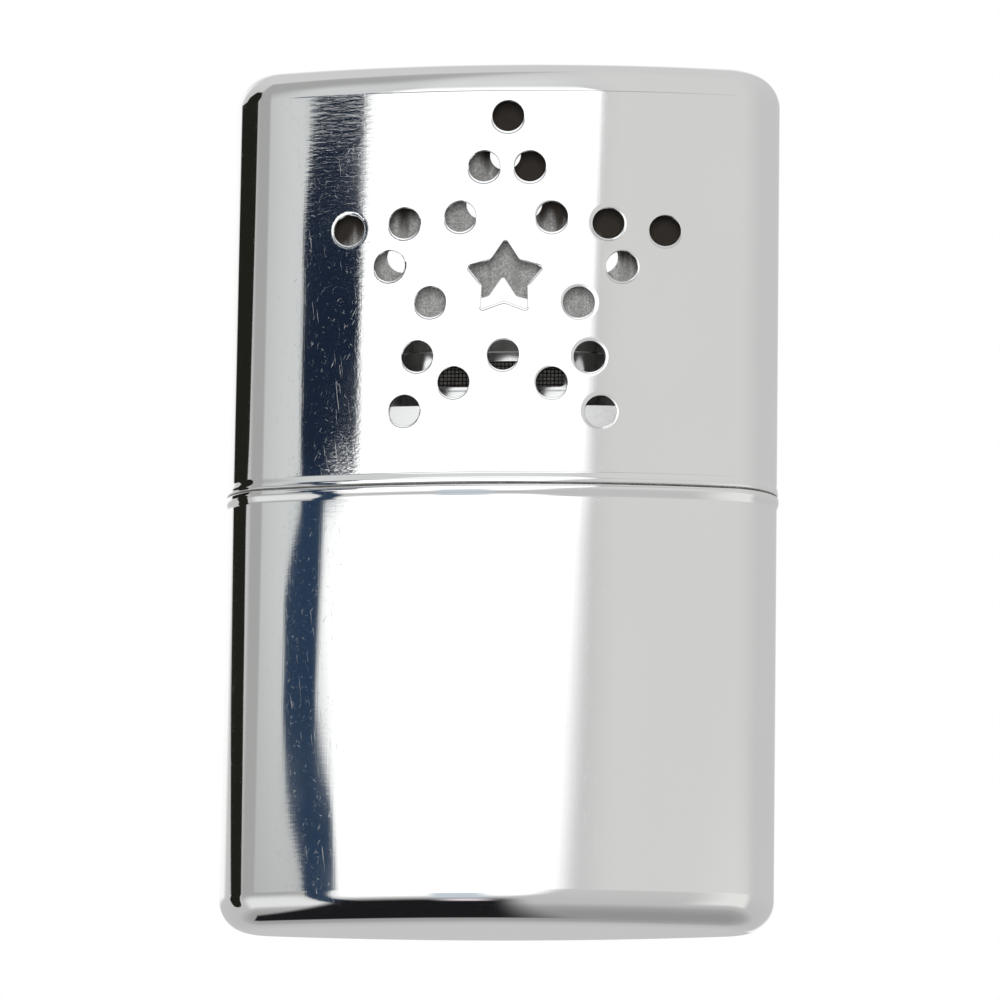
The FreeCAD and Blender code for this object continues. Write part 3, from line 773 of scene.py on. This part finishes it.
def build_lid(chrome, inside):
    """The lid: punched walls, a rounded top, and a lip at the seam."""
    holes = lid_holes()
    rim = SEAM + SEAM_GAP
    lip_top = rim + LID_LIP
    shoulder = BODY_TOP - LID_TOP_RADIUS
    heights = [lip_top + (shoulder - lip_top) * step / 20 for step in range(21)]
    wall = PunchedWall(LENS, LENS_STATIONS, heights, holes)
    skin = Skin()
    outer_rims = wall.lay(skin, drawn_surface(holes), 1)
    inner_rims = wall.lay(skin, plain_surface(LID_WALL), -1, 1)
    wall.line_holes(skin, outer_rims, inner_rims)
    crown = -LID_TOP_RADIUS - 0.5
    top = [(0, shoulder, 0), (0, BODY_TOP, LID_TOP_RADIUS), (crown, BODY_TOP, 0)]
    skin.sweep(LENS_SPOTS, profile(top, turn=5.0))
    skin.cap(LENS_SPOTS, crown, BODY_TOP, 1)
    ceiling = BODY_TOP - LID_WALL
    roof = [(crown, ceiling, 0), (-LID_WALL, ceiling, LID_TOP_RADIUS - LID_WALL), (-LID_WALL, shoulder, 0)]
    skin.sweep(LENS_SPOTS, profile(roof), 1)
    skin.cap(LENS_SPOTS, crown, ceiling, -1, 1)
    skin.sweep(LENS_SPOTS, lip(LID_SWELL, LID_LIP, 1))
    foot = [(-LID_WALL, lip_top, 0), (-LID_WALL, rim, 0), (LID_SWELL - LIP_ROUND, rim, 0)]
    skin.sweep(LENS_SPOTS, profile(foot), 1)
    skin.make("lid_shell", "lid", "chrome_shell", [chrome, inside], "lid")


def build_case(chrome, inside):
    """The lower shell, drawn in one piece, with its mouth turned out at the seam."""
    skin = Skin()
    floor_edge = -CASE_BOTTOM_RADIUS - 0.4
    outer = [(floor_edge, 0, 0), (0, 0, CASE_BOTTOM_RADIUS), (0, SEAM - CASE_LIP, 0)]
    skin.cap(LENS_SPOTS, floor_edge, 0, -1)
    skin.sweep(LENS_SPOTS, profile(outer, turn=5.0))
    skin.sweep(LENS_SPOTS, lip(CASE_SWELL, CASE_LIP, -1))
    inner = [
        (CASE_SWELL - LIP_ROUND, SEAM, 0), (-CASE_WALL, SEAM, 0),
        (-CASE_WALL, CASE_WALL, CASE_BOTTOM_RADIUS - CASE_WALL), (floor_edge, CASE_WALL, 0),
    ]
    skin.sweep(LENS_SPOTS, profile(inner), 1)
    skin.cap(LENS_SPOTS, floor_edge, CASE_WALL, 1, 1)
    skin.make("case_shell", "tank", "chrome_shell", [chrome, inside], "tank_case")


def lay_plate(skin, outer_spots, inner_spots, height, up):
    """A flat plate between an outline and the hole in it."""
    spots = [Vector((spot.x, spot.y)) for spot in outer_spots + inner_spots]
    edges = []
    for first, count in ((0, len(outer_spots)), (len(outer_spots), len(inner_spots))):
        edges += [(first + k, first + (k + 1) % count) for k in range(count)]
    hole = Hole(spots[len(outer_spots):], [Vector((0.0, 0.0))] * len(inner_spots), (0.0,))
    _, _, faces, origins, _, _ = delaunay_2d_cdt(spots, edges, [], 1, 1e-5)
    normal = lift(up)
    for face in faces:
        corners = [spots[origins[index][0]] for index in face]
        if not hole.covers((corners[0] + corners[1] + corners[2]) / 3):
            skin.face([(Vector((spot.x, spot.y, height)), normal) for spot in corners])


def outline(spots, offset):
    """The points of a plan, moved out by an offset."""
    return [point + offset * normal for point, normal in spots[:-1]]


def build_tank_top(steel):
    """The collar that guides the lid, and the deck sunk in it, with its hole for the neck."""
    skin = Skin()
    outside = -(LID_WALL + LID_CLEARANCE)
    bore = outside - COLLAR_WALL
    wall = [
        (bore, DECK_UNDERSIDE, 0), (bore, COLLAR_FOOT, 0), (outside, COLLAR_FOOT, 0),
        (outside, COLLAR_TOP, 0.14), (bore, COLLAR_TOP, 0.14), (bore, DECK_TOP, 0.8),
        (bore - 1.2, DECK_TOP, 0),
    ]
    skin.sweep(LENS_SPOTS, profile(wall))
    neck = oval(NECK_LENGTH, NECK_WIDTH)
    neck_spots = neck.spots(neck.stations(9.0, 1.5))
    hole = outline(neck_spots, 0)
    lay_plate(skin, outline(LENS_SPOTS, bore - 1.2), hole, DECK_TOP, 1)
    lay_plate(skin, outline(LENS_SPOTS, bore), hole, DECK_UNDERSIDE, -1)
    skin.sweep(neck_spots, profile([(0, DECK_TOP, 0), (0, DECK_UNDERSIDE, 0)]))
    skin.make("collar_and_deck", "tank", "polished_steel", [steel], "tank_top")


def build_ring(name, body, slot, finish, plan, corners, node):
    """A piece with one closed profile all the way round."""
    skin = Skin()
    skin.sweep(plan.spots(plan.stations(7.0, 1.5)), profile(corners, closed=True, turn=15.0))
    skin.make(name, body, slot, [finish], node)


def build_neck(steel):
    corners = [
        (-NECK_WALL, FLANGE_BASE, 0), (1.2, FLANGE_BASE, 0), (1.2, DECK_UNDERSIDE, 0),
        (0, DECK_UNDERSIDE, 0), (0, NECK_TOP, 0.18), (-NECK_WALL, NECK_TOP, 0.18),
    ]
    plan = oval(NECK_LENGTH, NECK_WIDTH)
    build_ring("neck_tube", "tank", "polished_steel", steel, plan, corners, "filler_neck")


def build_skirt(plating):
    shelf = SKIRT_TOP - 0.4
    corners = [
        (-SKIRT_WALL, DECK_TOP, 0), (0, DECK_TOP, 0.08), (0, SKIRT_TOP, 0.15), (-1.6, SKIRT_TOP, 0),
        (-1.6, shelf, 0), (-SKIRT_WALL, shelf, 0.2),
    ]
    plan = oval(SKIRT_LENGTH, SKIRT_WIDTH)
    build_ring("skirt_tube", "burner", "burner_plating", plating, plan, corners, "burner_skirt")


def build_hood(plating):
    """The hood over the catalyst: windowed faces, legs at its ends, a brow and a rounded top."""
    plan = oval(HOOD_LENGTH, HOOD_WIDTH)
    stations = plan.stations(6.0, 1.2)
    split = WINDOW_TOP + 0.45
    skin = Skin()
    for piece in (1, 3):
        start, end = plan.starts[piece], plan.starts[piece + 1]
        low, high = (start + end - WINDOW_LENGTH) / 2, (start + end + WINDOW_LENGTH) / 2
        corners = [(low, WINDOW_BASE), (low, WINDOW_TOP), (high, WINDOW_TOP), (high, WINDOW_BASE)]
        window = outline_hole([(x, y, WINDOW_ROUND) for x, y in corners], (0.0, 0.07, 0.2))
        face = [along for along in stations if start - SLACK <= along <= end + SLACK]
        panel = PunchedWall(plan, face, [HOOD_SILL, split], [window])
        outer = panel.lay(skin, bevelled_surface(window), 1)
        inner = panel.lay(skin, plain_surface(HOOD_WALL), -1)
        panel.line_holes(skin, outer, inner)
        edge = [(-HOOD_WALL, HOOD_SILL, 0), (0, HOOD_SILL, 0)]
        skin.sweep(plan.spots(face), profile(edge))
        for side, away in ((start, -1), (end, 1)):
            flank(skin, plan.at(side), -away)
    ends = [
        [along for along in stations if along <= plan.starts[1] + SLACK],
        [along for along in stations if plan.starts[2] - SLACK <= along <= plan.starts[3] + SLACK],
        [along for along in stations if along >= plan.starts[4] - SLACK],
    ]
    leg = [(-HOOD_WALL, split, 0), (-HOOD_WALL, HOOD_FOOT, 0), (0, HOOD_FOOT, 0), (0, split, 0)]
    for end in ends:
        skin.sweep(plan.spots(end), profile(leg))
    dome = -BROW_STEP - DOME_ROUND
    outside = [
        (0, split, 0), (0, BROW_TOP, BROW_ROUND), (-BROW_STEP, BROW_TOP, 0.12),
        (-BROW_STEP, DOME_TOP, DOME_ROUND), (dome - 0.3, DOME_TOP, 0),
    ]
    ceiling = DOME_TOP - HOOD_WALL
    inside = [
        (dome - 0.3, ceiling, 0), (-BROW_STEP - HOOD_WALL, ceiling, DOME_ROUND - HOOD_WALL),
        (-BROW_STEP - HOOD_WALL, BROW_TOP - HOOD_WALL, 0.1), (-HOOD_WALL, BROW_TOP - HOOD_WALL, 0),
        (-HOOD_WALL, split, 0),
    ]
    spots = plan.spots(stations)
    skin.sweep(spots, profile(outside, turn=9.0))
    skin.sweep(spots, profile(inside))
    skin.cap(spots, dome - 0.3, DOME_TOP, 1)
    skin.cap(spots, dome - 0.3, ceiling, -1)
    skin.make("hood_shell", "burner", "burner_plating", [plating], "burner_hood")


def flank(skin, spot, facing):
    """The side edge of one of the hood's legs, below the sill."""
    point, normal = spot
    across = facing * Vector((-normal.y, normal.x, 0.0))
    corners = []
    for offset, height in ((0, HOOD_FOOT), (-HOOD_WALL, HOOD_FOOT), (-HOOD_WALL, HOOD_SILL), (0, HOOD_SILL)):
        corners.append((point + offset * normal + lift(height), across))
    skin.face(corners)


def bevelled_surface(hole):
    """A flat surface with a bevel at a hole's edge."""
    def surface(spot):
        gap, away = hole.nearest(spot) if hole.is_near(spot, 0.1) else (1.0, None)
        if gap < 1e-3:
            return -MOUTH_ROUND, MOUTH_SLOPE * away
        return 0.0, Vector((0.0, 0.0))

    return surface


def lay_wire(skin, points, radius):
    """A thin six-sided wire through the points."""
    rings = []
    for place, point in enumerate(points):
        run = points[min(place + 1, len(points) - 1)] - points[max(place - 1, 0)]
        side = run.cross(Vector((0.0, 1.0, 0.0))).normalized()
        other = run.cross(side).normalized()
        normals = [math.cos(math.tau * k / 6) * side + math.sin(math.tau * k / 6) * other for k in range(6)]
        rings.append([(point + radius * normal, normal) for normal in normals])
    for here, following in zip(rings, rings[1:]):
        for k in range(6):
            j = (k + 1) % 6
            skin.face([here[k], here[j], following[j], following[k]])


def wave(first, count, others, start, bounds, rise):
    """Parallel wires that go over and under the ones across them, as (place, [(length, sway)])."""
    for wire in range(count):
        path = []
        for step in range(-2, 4 * others - 1):
            along = min(max(start + step * WIRE_PITCH / 4, bounds[0]), bounds[1])
            path.append((along, rise * math.cos(math.pi * (step / 4 + wire))))
        yield first + wire * WIRE_PITCH, path


def build_mesh(name, side, finish, node):
    """Woven wire cloth behind a window."""
    columns = int(2 * MESH_HALF_LENGTH / WIRE_PITCH)
    rows = int((MESH_TOP - MESH_BASE) / WIRE_PITCH)
    first_x = -(columns - 1) * WIRE_PITCH / 2
    first_z = (MESH_BASE + MESH_TOP - (rows - 1) * WIRE_PITCH) / 2
    centre = side * MESH_CENTRE
    skin = Skin()
    for x, path in wave(first_x, columns, rows, first_z, (MESH_BASE, MESH_TOP), WIRE_RISE):
        lay_wire(skin, [Vector((x, centre + sway, z)) for z, sway in path], WIRE_RADIUS)
    sides = (-MESH_HALF_LENGTH, MESH_HALF_LENGTH)
    for z, path in wave(first_z, rows, columns, first_x, sides, -WIRE_RISE):
        lay_wire(skin, [Vector((x, centre + sway, z)) for x, sway in path], WIRE_RADIUS)
    skin.make(name, "burner", "mesh_wire", [finish], node)


def lumpiness(x, y, z, size):
    """A steady, uneven number between -1 and 1 for a place."""
    x, y, z = x / size, y / size, z / size
    return (
        math.sin(1.7 * x + 2.3 * y + 0.4) * math.cos(2.1 * z - 1.3 * x)
        + 0.5 * math.sin(4.9 * x - 3.1 * z + 1.9) * math.cos(5.3 * y + 3.7 * z)
    ) / 1.5


def build_soft(name, body, slot, finish, plan, bounds, rounding, lump, node):
    """A soft block with rounded edges and an uneven surface, kept inside its plan and its heights."""
    low, high = bounds
    path = [(-3 * rounding, low, 0), (0, low, rounding), (0, high, rounding), (-3 * rounding, high, 0)]
    strips = profile(path, turn=20.0)
    knots = [strips[0][0]] + [strip[1] for strip in strips]
    rows = [knots[0][0]]
    for here, following in zip(knots, knots[1:]):
        parts = max(1, round((following[0] - here[0]).length / 1.2))
        rows += [here[0].lerp(following[0], step / parts) for step in range(1, parts + 1)]
    stations = plan.stations(12.0, 1.2)
    depth, size = lump
    points, faces = [], []
    for row in rows:
        for along in stations[:-1]:
            point, normal = plan.at(along)
            sink = depth * (1 + lumpiness(point.x, point.y, row.y, size)) / 2
            rise = sink if row.y < (low + high) / 2 else -sink
            place = point + (row.x - sink) * normal + lift(row.y)
            if row.x < -0.3 * rounding:
                place.z += rise
            points.append(place * MM)
    count = len(stations) - 1
    for row in range(len(rows) - 1):
        for k in range(count):
            j = (k + 1) % count
            faces.append((row * count + k, row * count + j, (row + 1) * count + j, (row + 1) * count + k))
    faces.append(tuple(range(count))[::-1])
    faces.append(tuple(range((len(rows) - 1) * count, len(rows) * count)))
    add_piece(name, (points, faces, [], [0] * len(faces)), body, slot, [finish], node)


class Inset:
    """A plan brought in by an inset."""

    def __init__(self, plan, inset):
        self.plan = plan
        self.inset = inset

    def at(self, along):
        point, normal = self.plan.at(along)
        return point - self.inset * normal, normal

    def stations(self, turn, run):
        return self.plan.stations(turn, run)


def dress(node, finish):
    """Gives a CAD node that stays a better material."""
    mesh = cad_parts[node].data
    mesh.materials.clear()
    mesh.materials.append(finish)


# Studio

# Tones of the surroundings as the chrome mirrors them, by elevation

SKY_TONES = [
    (-90, 0.31), (-75, 0.32), (-58, 0.38), (-42, 0.54), (-20, 0.56), (15, 0.6), (40, 0.62), (65, 0.66),
]

# Soft-edged panels around the object. Each has its sides and its ends, as two bounds in degrees with their
# softness, and its tone. An azimuth of 0 is the front, and +X is at 90

PANELS = [
    ((-66, -20, (6, 14)), (-10, 90, (10, 30)), (0.40, 0.405, 0.40, 1.0)),
    ((-56, -27, (10, 3)), (-42, -8, (6, 12)), (0.82, 0.83, 0.83, 1.0)),
    ((7, 62, (3, 30)), (6, 90, (3, 34)), (0.69, 0.695, 0.685, 1.0)),
    ((21, 68, (3, 9)), (-37, 8, (5, 3)), (0.83, 0.825, 0.81, 1.0)),
    ((-240, -121, (9, 9)), (6, 40, (5, 16)), (1.05, 1.06, 1.05, 1.0)),
    ((166, 240, (9, 9)), (-12, 46, (8, 12)), (1.05, 1.06, 1.05, 1.0)),
    ((-20, 4, (7, 7)), (30, 62, (8, 20)), (0.73, 0.75, 0.75, 1.0)),
    ((-35, -18, (5, 3)), (9, 48, (3, 12)), (0.65, 0.67, 0.67, 1.0)),
]
MOTTLE = ((-12.5, -6.0, (1.0, 1.5)), (-30.0, -7.0, (4.0, 3.0)), (0.60, 0.66, 0.72, 1.0))
GLOW = ((-12.0, -6.5, (2.5, 2.0)), (-35.0, -27.5, (2.5, 2.5)), (0.80, 0.72, 0.76, 1.0))
SOFTBOX_TONE = (1.3, 1.31, 1.31, 1.0)
BLACK, SOOT = (0.012, 0.012, 0.014, 1.0), (0.015, 0.016, 0.012, 1.0)
NAVY, DEEP_NAVY, NAVY_TURN = (0.024, 0.046, 0.088, 1.0), (0.011, 0.019, 0.038, 1.0), 12.05
LINE_SIDES, LINE_ENDS, LINE_STRENGTH = (-31.0, 8.0, (1.0, 30.0)), (16.2, 19.0, (0.7, 0.7)), 0.85

# Sides of the softbox and of the two dark cards beside it, as (elevation, left, right)

SOFTBOX_SIDES = [
    (-31, -24.0, -12.0), (-19, -24.0, -2.0), (-9, -24.0, 0.5), (7, -24.0, 2.2), (9.1, -24.2, 3.3),
    (11.97, -27.0, 5.3), (12.1, -23.0, 5.6), (15.2, -22.8, 7.0), (17.5, -20.0, 7.0), (31, -16.0, 4.0),
]
NAVY_SIDES = [
    (-37, -27.6, -22.0), (-21, -27.4, -24.8), (7.6, -27.2, -24.2), (9.1, -27.6, -23.7), (9.75, -30.2, -24.5),
    (10.4, -30.8, -26.6), (11.3, -30.8, -26.3), (11.97, -28.6, -25.9), (12.1, -29.2, -22.0),
    (14.0, -29.5, -22.0), (14.8, -28.6, -21.8), (15.8, -26.5, -20.0),
]
BLACK_SIDES = [
    (-30, -80.0, -77.0), (-21, -93.0, -71.0), (-1, -99.0, -69.0), (8.8, -95.0, -66.0), (10.4, -112.0, -71.0),
    (11.9, -120.0, -76.0), (12.2, -124.0, -71.0), (15.0, -121.0, -66.0), (19, -103.0, -65.0),
    (27, -99.0, -62.0), (40, -84.0, -67.0),
]

# Their ends, the softness of the dark cards' sides, and the dark patch of ground, by the heading's X, Y and Z

SOFTBOX_ENDS, SOFTBOX_LEFT = (-17.0, 28.0, (7.0, 7.0)), 2.5
SOFTBOX_RIGHT, SOFTBOX_TURN = (2.2, -1.7), (10.0, 14.5)
NAVY_SOFTNESS, NAVY_ENDS = (0.25, 0.4), (-41.0, 15.4, (3.0, 0.4))
BLACK_SOFTNESS, BLACK_ENDS = (1.5, 1.2), (-27.0, 39.5, (1.5, 1.5))
PATCH_ACROSS, PATCH_FORWARD, PATCH_UPWARD = (-0.385, -0.045, (0.02, 0.04)), (0.33, 0.24), (-0.34, -0.56)

AMBIENT = 0.75
FLOOR_DROP, FLOOR_REACH, FLOOR_CORNERS = 0.5, 900.0, 96


def by_elevation(elevation, stops):
    """A value that follows (elevation, value) stops."""
    low, high = stops[0][0], stops[-1][0]
    climb = elevation * (1 / (high - low)) + -low / (high - low)
    return elevation.graph.ramp(climb, [((stop - low) / (high - low), grey(value)) for stop, value in stops])


def sides(elevation, rows, offset):
    """The left and the right side of a card, in degrees. The offset keeps the ramps' values above zero."""
    for place in (1, 2):
        stops = [(row[0], (row[place] + offset) / offset) for row in rows]
        yield by_elevation(elevation, stops) * offset + -offset


def reflected(graph):
    """What the chrome mirrors: soft lights and dark cards, each laid over the ones before it."""
    heading = graph.value("ShaderNodeTexCoord", output="Generated")
    across, forward, upward = graph.split(heading)
    degrees = 180 / math.pi
    azimuth = graph.math("ARCTAN2", across, forward * -1.0) * degrees
    elevation = graph.math("ARCSINE", upward) * degrees

    def panel(across_bounds, upward_bounds, tone):
        return azimuth.between(*across_bounds) * elevation.between(*upward_bounds), tone

    left, right = sides(elevation, SOFTBOX_SIDES, 40)
    width, change = SOFTBOX_RIGHT
    softness = elevation.step(*SOFTBOX_TURN) * change + width
    lit_left = (azimuth - left).step(-SOFTBOX_LEFT, SOFTBOX_LEFT)
    softbox = lit_left * ((right - azimuth) / softness).step(-1.0, 1.0)
    line, _ = panel(LINE_SIDES, LINE_ENDS, NAVY)
    navy = graph.mix(elevation.step(NAVY_TURN - 0.1, NAVY_TURN + 0.1), NAVY, DEEP_NAVY)
    patch = across.between(*PATCH_ACROSS) * (upward.step(*PATCH_UPWARD) * forward.step(*PATCH_FORWARD))
    layers = [panel(*row) for row in PANELS] + [
        (softbox * elevation.between(*SOFTBOX_ENDS), SOFTBOX_TONE),
        panel(*MOTTLE),
        (line * LINE_STRENGTH, NAVY),
        panel((*sides(elevation, NAVY_SIDES, 40), NAVY_SOFTNESS), NAVY_ENDS, navy),
        panel((*sides(elevation, BLACK_SIDES, 120), BLACK_SOFTNESS), BLACK_ENDS, SOOT),
        (patch, BLACK),
        panel(*GLOW),
    ]
    studio = by_elevation(elevation, SKY_TONES)
    for share, tone in layers:
        studio = graph.mix(share, studio, tone)
    return studio


def build_studio():
    """White surroundings for the camera, and for reflections a studio of soft lights and dark cards."""
    world = bpy.data.worlds.new("studio")
    bpy.context.scene.world = world
    graph = Graph(world)
    rays = graph.add("ShaderNodeLightPath").outputs
    is_glossy, is_camera = (Value(graph, rays[name]) for name in ("Is Glossy Ray", "Is Camera Ray"))
    shown = graph.mix(is_camera, graph.mix(is_glossy, grey(AMBIENT), reflected(graph)), grey(1.0))
    background = graph.value("ShaderNodeBackground", {"Color": shown, "Strength": 1.0})
    graph.add("ShaderNodeOutputWorld", {"Surface": background})
    world.cycles.sampling_method = "NONE"


def build_floor():
    """A pale floor with a soft edge, seen from above only. The chrome mirrors the studio's ground instead."""
    mesh = bpy.data.meshes.new("floor")
    headings = [direction(360 * corner / FLOOR_CORNERS + 90) for corner in range(FLOOR_CORNERS)]
    points = [FLOOR_REACH * MM * heading for heading in headings]
    mesh.from_pydata(points, [], [tuple(range(FLOOR_CORNERS))])
    floor = bpy.data.objects.new("floor", mesh)
    floor.location.z = -FLOOR_DROP * MM
    bpy.context.scene.collection.objects.link(floor)
    made, graph = material("floor")
    place = graph.place()
    reach = graph.value("ShaderNodeVectorMath", {0: place}, "Value", operation="LENGTH")
    is_glossy = graph.value("ShaderNodeLightPath", output="Is Glossy Ray")
    backface = graph.value("ShaderNodeNewGeometry", output="Backfacing")
    edge = reach.step(0.45 * FLOOR_REACH * MM, 0.98 * FLOOR_REACH * MM)
    clear = graph.highest(backface, is_glossy, edge)
    tone = graph.mix(graph.noise(place, (40.0, 40.0, 40.0), 3.0), grey(0.93), grey(0.97))
    paint = graph.value("ShaderNodeBsdfDiffuse", {"Color": tone})
    gap = graph.value("ShaderNodeBsdfTransparent")
    mixed = graph.value("ShaderNodeMixShader", {0: clear, 1: paint, 2: gap})
    graph.add("ShaderNodeOutputMaterial", {"Surface": mixed})
    mesh.materials.append(made)
    floor.visible_shadow = False


# Lamps that only light, and are not mirrored: place, size and energy, in metres and watts

LAMPS = {
    "key_lamp": ((-0.35, -0.7, 0.75), 0.5, 2.6),
    "front_lamp": ((0.09, -1.0, -0.125), 0.09, 6.0),
}
LAMP_AIM = (0.0, 0.0, 0.06)


def build_lamps():
    for name, (place, size, energy) in LAMPS.items():
        light = bpy.data.lights.new(name, "AREA")
        light.shape = "DISK"
        light.size = size
        light.energy = energy
        lamp = bpy.data.objects.new(name, light)
        lamp.location = place
        aim = Vector(LAMP_AIM) - lamp.location
        lamp.rotation_euler = aim.to_track_quat("-Z", "Y").to_euler()
        lamp.visible_glossy = False
        bpy.context.scene.collection.objects.link(lamp)


# Camera, at its distance from a point on the middle plane, in millimetres, with its azimuth, elevation and
# roll in degrees

CAMERA_ANGLES = (5.3061, -11.9647, 0.8579)
CAMERA_DISTANCE, CAMERA_AIM, FOCAL_LENGTH = 932.782, (-0.2371, 0.0, 52.370), 280.385


def build_camera():
    azimuth, elevation, roll = (math.radians(angle) for angle in CAMERA_ANGLES)
    forward = Vector((
        -math.sin(azimuth) * math.cos(elevation),
        math.cos(azimuth) * math.cos(elevation),
        -math.sin(elevation),
    ))
    level = Vector((math.cos(azimuth), math.sin(azimuth), 0.0))
    above = level.cross(forward)
    right = math.cos(roll) * level + math.sin(roll) * above
    up = math.cos(roll) * above - math.sin(roll) * level
    data = bpy.data.cameras.new("camera")
    data.sensor_width = 36.0
    data.lens = FOCAL_LENGTH
    data.clip_start = 0.01
    data.clip_end = 20.0
    camera = bpy.data.objects.new("camera", data)
    camera.matrix_world = Matrix.Translation((Vector(CAMERA_AIM) - CAMERA_DISTANCE * forward) * MM) @ Matrix(
        (right, up, -forward)
    ).transposed().to_4x4()
    bpy.context.scene.collection.objects.link(camera)
    bpy.context.scene.camera = camera


def main():
    chrome = chrome_material()
    inside = inner_material()
    steel = steel_material("polished_steel", 0.8, 0.16)
    plating = steel_material("burner_plating", 0.84, 0.12)
    gauze = steel_material("gauze_steel", 0.42, 0.38)
    wire = wire_material()
    fibre = fibre_material("glass_fibre", (0.03, 0.03, 0.032), (0.16, 0.155, 0.145), 0.35)
    felt = fibre_material("felt", (0.62, 0.59, 0.52), (0.86, 0.84, 0.79), 0.5)
    cotton = fibre_material("cotton", (0.78, 0.76, 0.71), (0.95, 0.94, 0.91), 0.8)
    build_lid(chrome, inside)
    build_case(chrome, inside)
    build_tank_top(steel)
    build_neck(steel)
    build_skirt(plating)
    build_hood(plating)
    build_mesh("wire_cloth_front", -1, wire, "catalyst_mesh_front")
    build_mesh("wire_cloth_back", 1, wire, "catalyst_mesh_back")
    pad_plan = oval(PAD_LENGTH, PAD_WIDTH)
    pad = ("glass_mat", "burner", "glass_fibre", fibre, pad_plan)
    build_soft(*pad, (MESH_BASE, MESH_TOP), 0.8, (0.16, 0.8), "catalyst_pad")
    filling = Inset(LENS, FILLING_INSET)
    slab = ("felt_slab", "tank", "felt", felt, filling)
    build_soft(*slab, (FELT_BASE, FLANGE_BASE), 0.5, (0.15, 2.0), "wadding_felt")
    stuffing = ("cotton_stuffing", "tank", "cotton", cotton, filling)
    build_soft(*stuffing, (WADDING_BASE, FELT_BASE), 2.2, (0.7, 3.0), "tank_wadding")
    dress("neck_gauze", gauze)
    dress("burner_screen", gauze)
    build_floor()
    build_lamps()
    build_studio()
    build_camera()
    bpy.context.scene.view_settings.view_transform = "Standard"


main()
